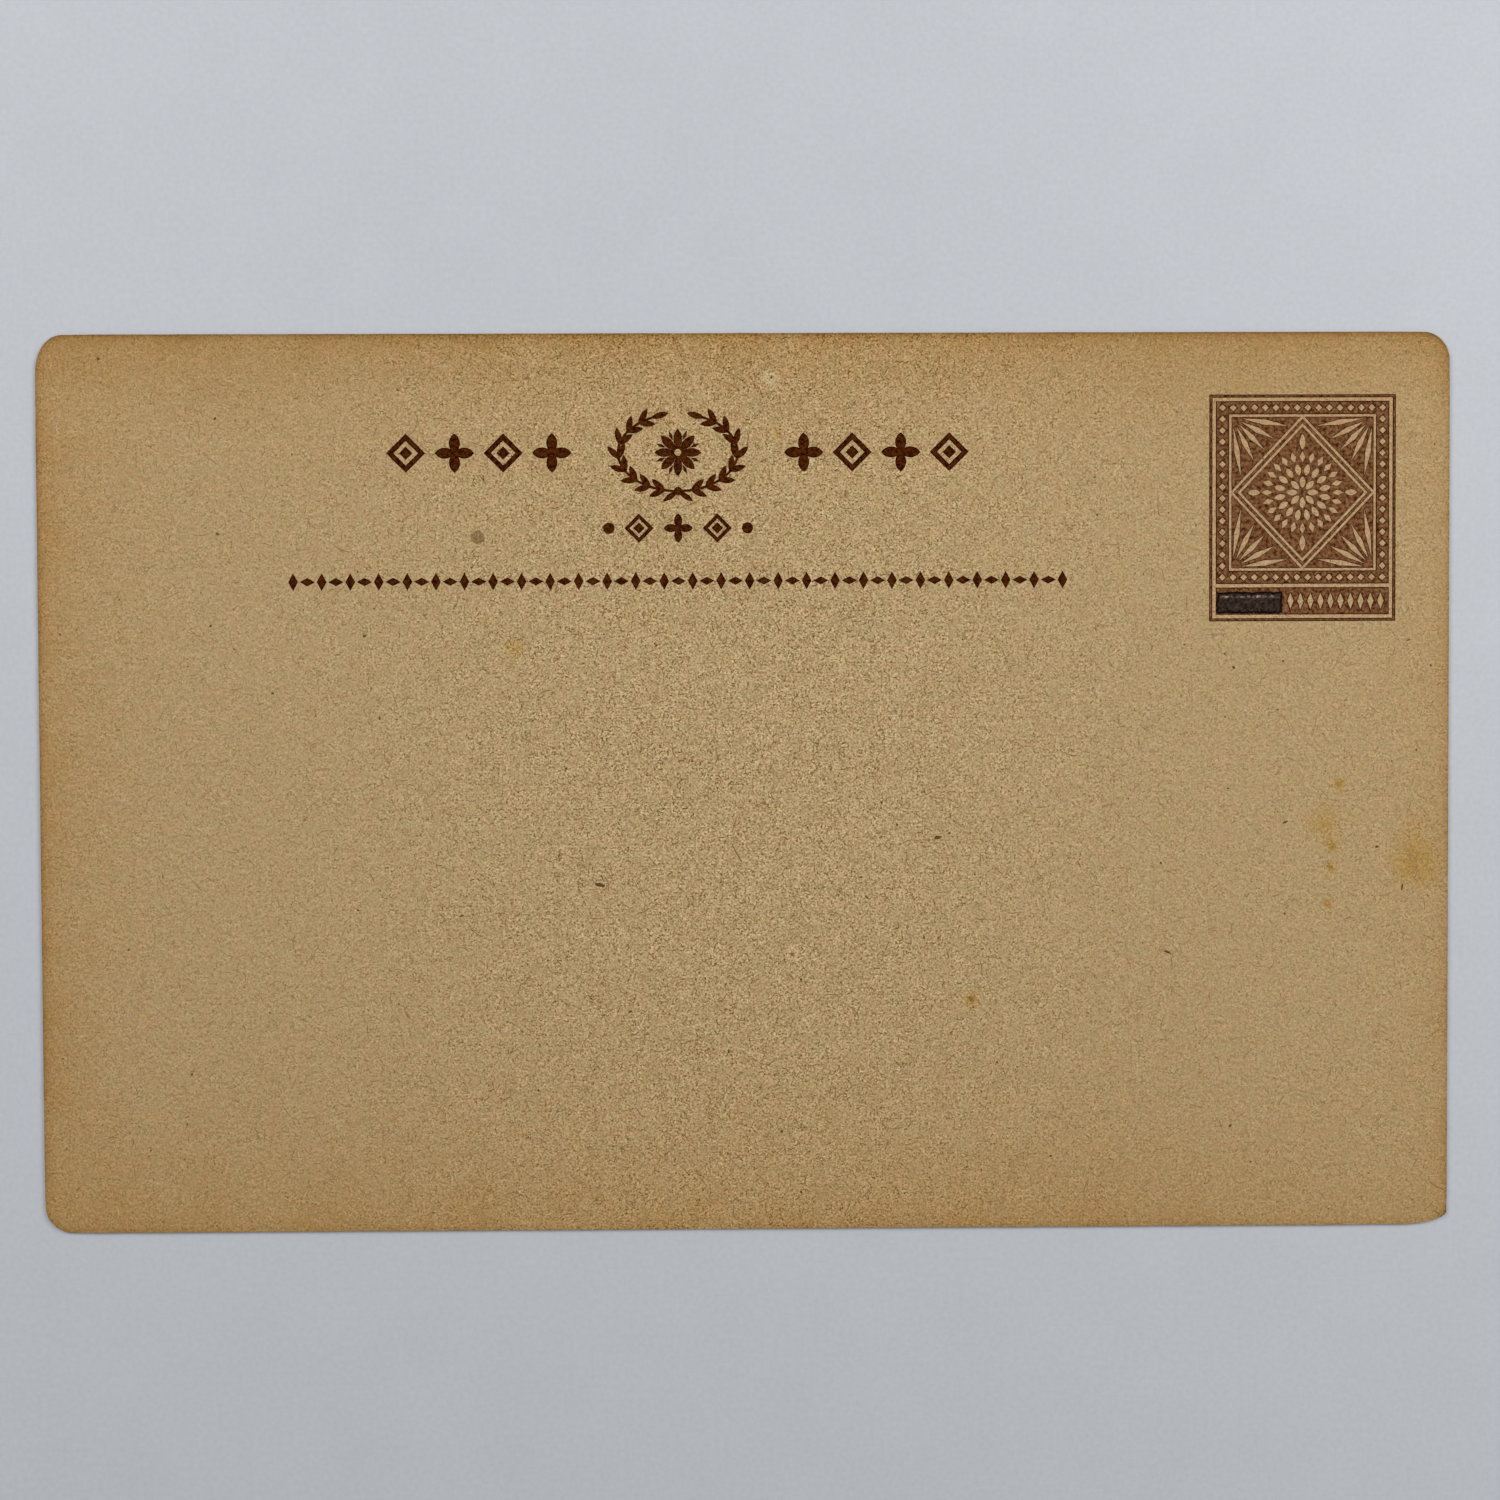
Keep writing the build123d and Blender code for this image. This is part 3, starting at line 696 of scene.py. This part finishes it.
# %% Stains and creases
GREASE = (0.93, 0.84, 0.50, 1)
RUST = (0.64, 0.45, 0.15, 1)
GREY = (0.58, 0.53, 0.45, 1)
LIFTED = (1.24, 1.42, 1.72, 1)
CREASE = (0.72, 0.68, 0.60, 1)
STAINS = (  # place, core, reach, tint and strength
    ((66.5, -8.3), 0.8, 3.4, GREASE, 0.90),
    ((66.4, -8.0), 0.1, 1.2, RUST, 0.25),
    ((66.4, -5.2), 0.4, 2.8, GREASE, 0.40),
    ((57.5, -4.4), 0.2, 2.6, GREASE, 0.75),
    ((58.1, -6.5), 0.1, 1.3, GREASE, 0.85),
    ((58.2, -6.6), 0.1, 0.6, RUST, 0.40),
    ((58.1, -8.6), 0.1, 0.9, GREASE, 0.95),
    ((58.1, -8.6), 0.1, 0.5, RUST, 0.45),
    ((57.9, -12.3), 0.1, 1.0, GREASE, 0.70),
    ((57.8, -12.4), 0.1, 0.5, RUST, 0.30),
    ((58.9, -0.4), 0.1, 1.2, GREASE, 0.90),
    ((58.9, -0.4), 0.1, 0.6, RUST, 0.45),
    ((3.2, 34.6), 0.1, 1.1, GREASE, 0.65),
    ((-22.9, 13.4), 0.1, 1.6, GREASE, 0.85),
    ((22.3, -21.6), 0.1, 1.6, GREASE, 0.65),
    ((22.3, -21.6), 0.1, 0.55, RUST, 0.90),
    ((-26.5, 24.4), 0.58, 0.78, GREY, 1.0),
    ((2.6, 40.0), 0.45, 1.05, LIFTED, 0.95),
)
RAGGED_SIZE = 0.8
CREASES = (
    ((68.0, -40.1), (68.9, -40.7)),
    ((68.9, -40.7), (69.8, -41.1)),
    ((68.4, -43.0), (69.1, -43.4)),
)
CREASE_WIDTH, CREASE_CORE = 0.11, 0.2
CREASE_WANDER = 0.22
CREASE_END = 0.1


def stained(recipe, colour):
    """Lays the stains and the creases of the address side on a colour."""
    ragged = recipe.math("SUBTRACT", recipe.noise(RAGGED_SIZE, detail=3.0, seed=3.0), 0.5)
    for place, core, reach, tint, strength in STAINS:
        away = recipe.vector("DISTANCE", recipe.flat, (*place, 0))
        uneven = recipe.math("ADD", away, recipe.math("MULTIPLY", ragged, reach - core))
        colour = recipe.mix(recipe.fade(uneven, reach, core, 0.0, strength), colour, tint, "MULTIPLY")
    for start, end in CREASES:
        run = Vector((*end, 0)) - Vector((*start, 0))
        from_start = recipe.vector("SUBTRACT", recipe.flat, (*start, 0))
        along = recipe.vector("DOT_PRODUCT", from_start, run.normalized())
        across = recipe.vector("DOT_PRODUCT", from_start, Vector((-run.y, run.x, 0)).normalized())
        wandering = recipe.math("ADD", across, recipe.math("MULTIPLY", ragged, CREASE_WANDER))
        beside = recipe.fade(recipe.math("ABSOLUTE", wandering), CREASE_WIDTH, CREASE_CORE * CREASE_WIDTH)
        half = run.length / 2
        off_middle = recipe.math("ABSOLUTE", recipe.math("SUBTRACT", along, half))
        in_length = recipe.fade(off_middle, half + CREASE_END, half - CREASE_END)
        colour = recipe.mix(recipe.math("MULTIPLY", beside, in_length), colour, CREASE, "MULTIPLY")
    return colour


print(len(STAINS), "stains and", len(CREASES), "creases")

# %% [markdown]
# ## The tint inside the stamp
# The bare lines of the stamp are a little pinker than the card round it, because the plate left a trace
# of oily ink between its lines. No dots of ink can be seen apart, so a faint tint of the paper is enough.
# It is laid inside the box of the stamp's outer rule.

# %% Plate tint
PLATE_TINT = (1.05, 0.995, 1.06, 1)
PLATE_EDGE = 0.3

stamp_low, stamp_high = (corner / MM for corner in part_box("stamp_frame"))


def plate_tinted(recipe, colour):
    """Tints a colour inside the stamp's outer rule."""
    x, y, _ = recipe.axes(recipe.place)
    depth = recipe.math("SUBTRACT", x, stamp_low.x)
    for beyond, value in ((stamp_high.x, x), (y, stamp_low.y), (stamp_high.y, y)):
        depth = recipe.math("MINIMUM", depth, recipe.math("SUBTRACT", beyond, value))
    return recipe.mix(recipe.fade(depth, 0.0, PLATE_EDGE), colour, PLATE_TINT, "MULTIPLY")


print("the plate tint covers", [round(stamp_high[i] - stamp_low[i], 2) for i in range(2)], "mm")

# %% [markdown]
# ## The finish of the plies
# The outer plies share one stock: the grain between the tone of a pit and the tone of a ridge, two faint
# drifts of the pulp, from pinkish to greenish and from yellow to grey, the stains where they belong, and
# the browning over all. The core ply, seen only at the cut, is a greyer and cheaper pulp, and the dried
# paste is a darker line with a little more shine.

# %% Card, core and paste
PIT, RIDGE = tone(108, 75, 0), tone(231, 203, 157)
CORE_PIT, CORE_RIDGE = tone(102, 84, 48), tone(206, 186, 152)
PASTE_DARK, PASTE_PALE = tone(92, 68, 36), tone(158, 128, 84)
DRIFTS = (  # size, seed and the two tints
    (1.6, 8.0, (1.07, 0.967, 1, 1), (0.93, 1.033, 1, 1)),
    (1.4, 14.0, (1, 1, 0.90, 1), (1, 1, 1.10, 1)),
)
GRAIN_DEPTH = 0.03


def card_stock(name, pit, ridge, roughness=0.9, with_stains=False):
    recipe = Recipe(name, roughness, shine=0.15)
    grain = grain_of(recipe)
    swells = swells_of(recipe)
    # The colour follows the grain's height: its pits and dark dashes are partly the pulp's own tone and
    # partly painted shade of the felt's relief, and the swells' small share of the colour is painted shade of
    # their hollows.
    shade = recipe.math("ADD", grain, recipe.math("MULTIPLY", swells, SWELL_SHADE))
    height = recipe.math("ADD", grain, recipe.math("MULTIPLY", swells, SWELL_HEIGHT))
    colour = recipe.mix(shade, pit, ridge)
    for size, seed, one, other in DRIFTS:
        drift = recipe.mix(recipe.noise(size, detail=3.0, seed=seed), one, other)
        colour = recipe.mix(1.0, colour, drift, "MULTIPLY")
    if with_stains:
        colour = plate_tinted(recipe, stained(recipe, colour))
    return recipe.finish(browning(recipe, colour), height, GRAIN_DEPTH)


face_finish = card_stock("address_side", PIT, RIDGE, with_stains=True)
back_finish = card_stock("plain_side", PIT, RIDGE)
core_finish = card_stock("core_pulp", CORE_PIT, CORE_RIDGE)
paste_finish = card_stock("dried_paste", PASTE_DARK, PASTE_PALE, roughness=0.6)
print("card, core and paste ready")

# %% [markdown]
# ## Stacking the card
# The stack is built from the back up, each sheet at the level of the solid that it stands for. The
# back ply is modelled felted side up like the face, and then turned over.

# %% The five sheets
def level_of(node):
    """The lower and upper level of a solid."""
    low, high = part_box(node)
    return low.z / MM, high.z / MM


def stack(name, node, finish, slot, seed, felted=False, turned=False):
    """Makes the sheet that stands for a solid and puts it at the solid's level."""
    low, high = level_of(node)
    make = felted_sheet if felted else plain_sheet
    piece = make(name, seed, high - low)
    open_mesh(piece)
    bpy.ops.mesh.select_all(action="SELECT")
    if turned:
        bpy.ops.transform.resize(value=(1, 1, -1), center_override=(0, 0, 0))
    bpy.ops.transform.translate(value=(0, 0, low if turned else high))
    close_mesh()
    settle(piece, finish, slot, node)


stack("back_sheet", "back_ply", back_finish, "card", 11.0, felted=True, turned=True)
stack("back_paste_line", "back_paste", paste_finish, "paste", 23.0)
stack("core_sheet", "middle_ply", core_finish, "card", 37.0)
stack("front_paste_line", "front_paste", paste_finish, "paste", 41.0)
stack("face_sheet", "face_ply", face_finish, "card", 59.0, felted=True)

# %% [markdown]
# ## Loose fibres
# Single fibres lie on the felt, dark and pale ones, each a flattened tube of about a millimetre. Hair
# particles could grow them, but give little say over how a hair bends and lies, so one strand is modelled and
# its copies are bent and turned in code. They are half sunk in the paper, and they stay lower than the ink,
# which was printed over them.

# %% One strand
STRAND_SIDES = 5
STRAND_CUTS = 4
STRAND_HEIGHT = 0.020
STRAND_TAPER = 0.8


def model_strand():
    """A tube of length 1 along X and width 1, flat at the height of a real strand, with tapered ends."""
    clear_selection()
    along_x = (0, math.pi / 2, 0)
    bpy.ops.mesh.primitive_cylinder_add(vertices=STRAND_SIDES, radius=0.5, depth=1, rotation=along_x)
    strand = bpy.context.object
    strand.name = strand.data.name = "strand"
    bpy.ops.object.transform_apply(location=False, rotation=True, scale=False)
    open_mesh(strand, "EDGE")
    bpy.ops.mesh.select_all(action="DESELECT")
    close_mesh()
    for edge in strand.data.edges:
        one, other = (strand.data.vertices[i].co for i in edge.vertices)
        edge.select = abs(one.x - other.x) > 0.5
    open_mesh(strand, "EDGE")
    bpy.ops.mesh.subdivide(number_cuts=STRAND_CUTS)
    bpy.ops.mesh.select_all(action="SELECT")
    bpy.ops.transform.resize(value=(1, 1, STRAND_HEIGHT), center_override=(0, 0, 0))
    close_mesh()
    for vertex in strand.data.vertices:
        taper = 1 - STRAND_TAPER * abs(2 * vertex.co.x) ** 3
        vertex.co.y *= taper
        vertex.co.z *= taper
    return strand


strand = model_strand()
print("a strand has", len(strand.data.polygons), "faces")

# %% [markdown]
# Each copy of the strand is bent to an arc: a point that lies some way along it turns by the curl times
# that way. The copies of one kind are gathered in one mesh, because thousands of objects would be slow.
# A fixed seed draws the same fibres every time.

# %% Laying strands
FIBRE_MARGIN = 1.5
FIBRE_LENGTHS = (0.35, 2.0, 0.6)
FIBRE_WIDTHS = (0.045, 0.075)
MOST_CURL = 0.9
LONG_FIBRE_WIDTH = 0.10


def lay_strand(place, turn, length, width, curl, level):
    """A copy of the strand's mesh, bent and laid with its middle at a place and a level."""
    mesh = strand.data.copy()
    swing = Matrix.Rotation(turn, 3, "Z")
    for vertex in mesh.vertices:
        along = vertex.co.x * length
        side = Vector((-math.sin(curl * along), math.cos(curl * along), 0))
        point = Vector((along, curl * along * along / 2, vertex.co.z)) + side * vertex.co.y * width
        vertex.co = swing @ point + Vector((*place, level))
    return mesh


def gather(name, meshes):
    """Joins many small meshes to one piece."""
    gathered = bmesh.new()
    for mesh in meshes:
        gathered.from_mesh(mesh)
        bpy.data.meshes.remove(mesh)
    piece = bpy.data.objects.new(name, bpy.data.meshes.new(name))
    gathered.to_mesh(piece.data)
    gathered.free()
    bpy.context.scene.collection.objects.link(piece)
    return piece


def chance_place(draw):
    """A place drawn anywhere on the card but its margin."""
    x = draw.uniform(-1, 1) * (half_width - FIBRE_MARGIN)
    y = draw.uniform(-1, 1) * (half_height - FIBRE_MARGIN)
    return x, y


def strewn(count, seed, level):
    """Strands strewn over the card at a level."""
    draw = random.Random(seed)
    meshes = []
    for _ in range(count):
        place = chance_place(draw)
        length = draw.triangular(*FIBRE_LENGTHS)
        width = draw.uniform(*FIBRE_WIDTHS)
        turn = draw.uniform(0, math.pi)
        curl = draw.uniform(-MOST_CURL, MOST_CURL)
        meshes.append(lay_strand(place, turn, length, width, curl, level))
    return meshes


def long_fibre(start, end, curl, level):
    """One long strand that runs from a start to an end."""
    run = Vector(end) - Vector(start)
    middle = (Vector(start) + Vector(end)) / 2
    return lay_strand(middle, math.atan2(run.y, run.x), run.length, LONG_FIBRE_WIDTH, curl, level)


print("strands are", FIBRE_LENGTHS[0], "to", FIBRE_LENGTHS[1], "mm long")

# %% [markdown]
# Dark fibres are bits of bast and husk, pale ones are cleaner pulp. Each kind varies a little in colour
# from place to place, which slow noise gives, and is worn towards the tone of the card at its rubbed
# ends. The two longest fibres of the address side are laid one by one, and the rest are strewn.

# %% Fibres on both sides
DARK_FIBRES, PALE_FIBRES, BACK_FIBRES = 1900, 1300, 1500
FIBRE_WORN, WORN_FIBRE = 0.4, tone(168, 138, 96)
LONG_FIBRES = (((-40.8, 23.6), (-38.9, 22.8), 0.35), ((-1.6, -5.9), (-0.5, -7.9), 0.12))
FIBRE_TONE_SIZE = 1.5
FIBRE_BUMP_SIZE, FIBRE_BUMP = 0.1, 0.01
SUNK_IN_FACE, SUNK_IN_BACK = 0.004, 0.011


def fibre_finish(name, dark, pale, worn=FIBRE_WORN):
    """A fibre's finish, worn towards the tone of the card at the card's rubbed ends."""
    recipe = Recipe(name, roughness=0.8, shine=0.2)
    colour = recipe.mix(recipe.noise(FIBRE_TONE_SIZE), dark, pale)
    colour = recipe.mix(rubbed(recipe, 0.0, worn), colour, WORN_FIBRE)
    return recipe.finish(colour, recipe.noise(FIBRE_BUMP_SIZE, detail=1.0), FIBRE_BUMP)


dark_fibre_finish = fibre_finish("dark_fibre", tone(80, 50, 12), tone(132, 98, 46))
pale_fibre_finish = fibre_finish("pale_fibre", tone(186, 158, 112), tone(226, 200, 158))
on_face, on_back = face_level - SUNK_IN_FACE, SUNK_IN_BACK

dark_meshes = strewn(DARK_FIBRES, 7, on_face)
for start, end, curl in LONG_FIBRES:
    dark_meshes.append(long_fibre(start, end, curl, on_face))
settle(gather("dark_fibres", dark_meshes), dark_fibre_finish, "card")
settle(gather("pale_fibres", strewn(PALE_FIBRES, 8, on_face)), pale_fibre_finish, "card")
settle(gather("back_fibres", strewn(BACK_FIBRES, 9, on_back)), dark_fibre_finish, "card")
bpy.data.objects.remove(strand)

# %% [markdown]
# ## Specks of straw
# Cheap pulp holds shives, bits of straw or bark that were never boiled soft. The plain ones on the address
# side are placed one by one and the small ones are strewn. A shive starts as a coarse ball that is flattened
# and drawn out, and noise then makes each copy a lump of its own.

# %% Shives
SHIVES = (  # place, length, width and turn in degrees
    ((-14.65, -10.03), 0.85, 0.36, -10), ((-14.25, -10.12), 0.40, 0.30, 30), ((18.96, -5.49), 0.80, 0.34, 8),
    ((20.10, -5.05), 0.32, 0.20, 40), ((13.41, -2.00), 0.34, 0.24, 70), ((5.34, -19.55), 0.30, 0.22, 20),
    ((3.34, -34.69), 0.36, 0.24, 120), ((-52.20, 36.17), 0.38, 0.26, 60), ((-63.59, 42.05), 0.34, 0.30, 0),
    ((-36.24, 6.56), 0.36, 0.22, 100), ((48.39, 11.28), 0.40, 0.22, 150), ((41.84, -17.01), 0.75, 0.26, 160),
    ((53.55, -4.11), 0.55, 0.22, 25), ((65.24, -10.62), 0.80, 0.20, 80), ((48.10, -34.41), 0.36, 0.24, 45),
    ((62.70, -6.60), 0.40, 0.22, 10), ((2.61, 40.06), 0.30, 0.24, 60), ((-52.09, 24.83), 0.40, 0.28, 138),
    ((-11.65, -22.64), 0.42, 0.26, 20), ((-37.67, 14.71), 0.40, 0.26, 21), ((-1.91, -26.65), 0.42, 0.22, 92),
    ((-17.86, 1.53), 0.34, 0.22, 48), ((-52.84, 15.75), 0.32, 0.22, 31), ((6.44, 38.88), 0.36, 0.18, 0),
    ((-6.09, -2.48), 0.50, 0.16, 6), ((11.88, -11.39), 0.50, 0.18, 139), ((65.78, 13.93), 0.45, 0.14, 14),
    ((5.27, -40.79), 0.36, 0.20, 119), ((17.57, -15.39), 0.46, 0.16, 102),
)
SMALL_SHIVES = 160
SMALL_LENGTHS, SMALL_WIDTHS = (0.12, 0.34, 0.16), (0.5, 0.9)
SHIVE_HEIGHT = 0.022
LUMP, LUMPS_ALONG = 0.55, 2.5


def model_shive():
    """A coarse ball of width 1, flat at the height of a real shive."""
    clear_selection()
    bpy.ops.mesh.primitive_uv_sphere_add(segments=10, ring_count=4, radius=0.5)
    shive = bpy.context.object
    shive.name = shive.data.name = "shive"
    open_mesh(shive)
    bpy.ops.mesh.select_all(action="SELECT")
    bpy.ops.transform.resize(value=(1, 1, SHIVE_HEIGHT), center_override=(0, 0, 0))
    close_mesh()
    return shive


def lay_shive(place, length, width, degrees, seed):
    """A copy of the shive's mesh, drawn out, roughened and turned."""
    mesh = shive.data.copy()
    swing = Matrix.Rotation(math.radians(degrees), 3, "Z")
    for vertex in mesh.vertices:
        at = Vector((vertex.co.x * LUMPS_ALONG, vertex.co.y * LUMPS_ALONG, seed))
        lump = 1 + LUMP * noise.noise(at)
        point = Vector((vertex.co.x * length * lump, vertex.co.y * width * lump, vertex.co.z))
        vertex.co = swing @ point + Vector((*place, on_face))
    return mesh


shive = model_shive()
shive_meshes = [lay_shive(*row, seed) for seed, row in enumerate(SHIVES)]
draw = random.Random(10)
for seed in range(SMALL_SHIVES):
    place = chance_place(draw)
    length = draw.triangular(*SMALL_LENGTHS)
    width = length * draw.uniform(*SMALL_WIDTHS)
    shive_meshes.append(lay_shive(place, length, width, draw.uniform(0, 180), 100 + seed))
shive_finish = fibre_finish("shive", tone(70, 48, 14), tone(112, 82, 34), worn=0.0)
settle(gather("shives", shive_meshes), shive_finish, "card")
bpy.data.objects.remove(shive)

# %% [markdown]
# ## The ink films
# Letterpress type pushes its ink sideways, so a printed line has a wavering edge on rough paper and a
# raised, darker rim. Each film starts from the outline of its solid: the solid's underside is selected,
# only its border loops are kept, and their long edges are divided. After the points have wavered, the
# loops are filled, the film is extruded to its thickness and its top is inset, which leaves the rim.
# The mesh then remembers, point by point, what is rim and what is not, for the finish to read. Vector
# noise starts from the clock unless it is given a seed, so it gets one, and every run wavers alike.

# %% Film modelling
WAVER_SIZE = 0.22
WAVER = 0.022
OUTLINE_STEP = 0.3
RIM_DIP = 0.002
SAME_POINT = 0.0005
WAVER_SEED = 5

noise.seed_set(WAVER_SEED)


def outline_of(node, name):
    """A new piece in millimetres that holds only the border loops of a solid's underside."""
    clear_selection()
    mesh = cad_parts[node].data.copy()
    mesh.transform(Matrix.Scale(1 / MM, 4))
    piece = bpy.data.objects.new(name, mesh)
    mesh.name = name
    bpy.context.scene.collection.objects.link(piece)
    open_mesh(piece)
    bpy.ops.mesh.select_all(action="SELECT")
    bpy.ops.mesh.remove_doubles(threshold=SAME_POINT)
    bpy.ops.mesh.select_all(action="DESELECT")
    close_mesh()
    for polygon in mesh.polygons:
        polygon.select = polygon.normal.z < -0.5
    open_mesh(piece)
    bpy.ops.mesh.region_to_loop()
    bpy.ops.mesh.select_mode(type="EDGE")
    bpy.ops.mesh.select_all(action="INVERT")
    bpy.ops.mesh.delete(type="EDGE")
    bpy.ops.mesh.delete_loose(use_verts=True, use_edges=False, use_faces=False)
    close_mesh()
    return piece


def divide_long_edges(piece):
    """Halves the edges of an outline until none is longer than a step."""
    longest = OUTLINE_STEP + 1
    while longest > OUTLINE_STEP:
        points = piece.data.vertices
        lengths = [(points[e.vertices[0]].co - points[e.vertices[1]].co).length for e in piece.data.edges]
        longest = max(lengths)
        for edge, length in zip(piece.data.edges, lengths):
            edge.select = length > OUTLINE_STEP
        open_mesh(piece, "EDGE")
        bpy.ops.mesh.subdivide(number_cuts=1)
        bpy.ops.mesh.select_all(action="DESELECT")
        close_mesh()


def waver_outline(piece, amount):
    """Pushes the points of an outline about in its plane."""
    for vertex in piece.data.vertices:
        push = noise.noise_vector(vertex.co / WAVER_SIZE)
        vertex.co += Vector((push.x, push.y, 0)) * amount


def remember_rim(piece):
    """Writes 1 on the points of the rim and the walls and 0 on those of the selected top faces."""
    inside = {point for polygon in piece.data.polygons if polygon.select for point in polygon.vertices}
    rim = piece.data.attributes.new("rim", "FLOAT", "POINT")
    for index, value in enumerate(rim.data):
        value.value = 0.0 if index in inside else 1.0


def ink_film(node, finish, slot, rim_width, waver=WAVER):
    """Makes the film that stands for a solid of ink."""
    low, high = level_of(node)
    piece = outline_of(node, node + "_film")
    divide_long_edges(piece)
    waver_outline(piece, waver)
    open_mesh(piece, "EDGE")
    bpy.ops.mesh.select_all(action="SELECT")
    bpy.ops.mesh.fill(use_beauty=True)
    bpy.ops.mesh.select_all(action="SELECT")
    bpy.ops.mesh.select_mode(type="FACE")
    bpy.ops.mesh.normals_make_consistent(inside=False)
    bpy.ops.mesh.extrude_region_move(TRANSFORM_OT_translate={"value": (0, 0, high - low)})
    bpy.ops.mesh.inset(thickness=rim_width, depth=-RIM_DIP, use_even_offset=False)
    close_mesh()
    remember_rim(piece)
    settle(piece, finish, slot, node)


print("films waver by", WAVER, "mm")

# %% [markdown]
# ## The finish of the inks
# The brown ink is thin. The type squeezes it off the ridges of the paper, so it is paler there, it misses
# some pits, which stay bare, and it gathers dark along every edge. So the recipe reads the paper's own
# grain and the rim that each film remembers. Ink that has soaked in has next to no shine, so its specular
# level is close to nothing. The stamp's ink is redder and thinner than the type's.

# %% Brown inks
STAMP_EDGE, STAMP_DARK, STAMP_PALE = tone(40, 10, 0), tone(58, 20, 0), tone(140, 98, 64)
TYPE_EDGE, TYPE_DARK, TYPE_PALE = tone(24, 0, 0), tone(36, 0, 0), tone(84, 42, 12)
MOTTLE_SIZE, MOTTLE_SHARE, GRAIN_SHARE = 0.38, 0.6, 0.4
THIN_RANGE = (0.27, 0.67)
RIM_RANGE = (0.0, 0.6)
BARE_PITS = (0.06, -0.04, 0.0, 0.8)


def brown_ink(name, edge, dark, pale):
    recipe = Recipe(name, roughness=0.9, shine=0.01)
    grain = grain_of(recipe)
    mottle = recipe.math("MULTIPLY", recipe.noise(MOTTLE_SIZE, seed=4.0), MOTTLE_SHARE)
    thin = recipe.math("ADD", mottle, recipe.math("MULTIPLY", grain, GRAIN_SHARE))
    colour = recipe.mix(recipe.fade(thin, *THIN_RANGE), dark, pale)
    colour = recipe.mix(recipe.fade(recipe.attribute("rim"), *RIM_RANGE), colour, edge)
    colour = recipe.mix(recipe.fade(grain, *BARE_PITS), colour, PIT)
    return recipe.finish(colour, thin, GRAIN_DEPTH)


stamp_finish = brown_ink("stamp_ink", STAMP_EDGE, STAMP_DARK, STAMP_PALE)
type_finish = brown_ink("type_ink", TYPE_EDGE, TYPE_DARK, TYPE_PALE)
print("brown inks ready")

# %% [markdown]
# The films of the stamp and of the type differ in how wide their rim is. Broad shapes have a wide rim,
# and fine ones a narrow rim, so that some lighter ink is left inside.

# %% Brown films
STAMP_RIMS = {
    "stamp_frame": 0.12,
    "stamp_border": 0.13,
    "stamp_corners": 0.08,
    "stamp_medallion": 0.06,
    "stamp_foot": 0.12,
}
TYPE_RIMS = {
    "crest_wreath": 0.06,
    "crest_flower": 0.06,
    "heading_left": 0.12,
    "heading_right": 0.12,
    "name_ornament": 0.10,
    "direction_rule": 0.10,
}
for node, rim_width in STAMP_RIMS.items():
    ink_film(node, stamp_finish, "brown_ink", rim_width)
for node, rim_width in TYPE_RIMS.items():
    ink_film(node, type_finish, "brown_ink", rim_width)

# %% [markdown]
# ## The overprint
# The bar was printed later, over the dry brown ink, from a plain slug of type metal. Its black is a warm one,
# squeezed out thick and blackest along the edges, which are more ragged than those of the stamp. Along a
# streak under its top edge, pale flecks are painted highlights, glints of the light on the ink.

# %% Overprint bar
BAR_WAVER = 0.14
BAR_RIM = 0.30
BAR_DARK, BAR_PALE = tone(20, 10, 6), tone(78, 62, 54)
# The paler of the two tones on the next line is a painted highlight, the glints on the black ink.
BAR_EDGE, BAR_GLINT = tone(10, 2, 0), tone(160, 136, 122)
BAR_MOTTLE_SIZE, BAR_THIN_RANGE = 0.5, (0.25, 0.75)
BAR_RIM_STRENGTH = 0.9
STREAK_DOWN = 0.46
STREAK_WIDTH, STREAK_CORE = 0.17, 0.3
STREAK_WANDER_SIZE, STREAK_WANDER = 1.6, 0.3
FLECK_SIZE, FLECK_RANGE = 0.4, (0.40, 0.72)

bar_low, bar_high = (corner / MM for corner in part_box("overprint_bar"))


def overprint_ink():
    recipe = Recipe("overprint_ink", roughness=0.7, shine=0.02)
    grain = grain_of(recipe)
    _, y, _ = recipe.axes(recipe.place)
    thin = recipe.math("ADD", grain, recipe.noise(BAR_MOTTLE_SIZE, seed=4.0))
    thin = recipe.math("MULTIPLY", thin, 0.5)
    colour = recipe.mix(recipe.fade(thin, *BAR_THIN_RANGE), BAR_DARK, BAR_PALE)
    rim = recipe.fade(recipe.attribute("rim"), *RIM_RANGE, 0.0, BAR_RIM_STRENGTH)
    colour = recipe.mix(rim, colour, BAR_EDGE)
    # A streak of pale flecks under the top edge is a painted highlight: glints of light on the ink.
    wander = recipe.math("SUBTRACT", recipe.noise(STREAK_WANDER_SIZE, detail=3.0, seed=6.0), 0.5)
    wander = recipe.math("MULTIPLY", wander, STREAK_WANDER)
    from_streak = recipe.math("ADD", recipe.math("SUBTRACT", y, bar_high.y - STREAK_DOWN), wander)
    streak = recipe.fade(recipe.math("ABSOLUTE", from_streak), STREAK_WIDTH, STREAK_CORE * STREAK_WIDTH)
    flecks = recipe.fade(recipe.noise(FLECK_SIZE, detail=3.0, seed=9.0), *FLECK_RANGE)
    glinting = recipe.math("SUBTRACT", recipe.math("MULTIPLY", streak, flecks), rim)
    colour = recipe.mix(recipe.math("MAXIMUM", glinting, 0.0), colour, BAR_GLINT)
    return recipe.finish(colour, grain, GRAIN_DEPTH / 2)


ink_film("overprint_bar", overprint_ink(), "black_ink", BAR_RIM, BAR_WAVER)
print("bar", [round(bar_high[i] - bar_low[i], 2) for i in range(2)], "mm")
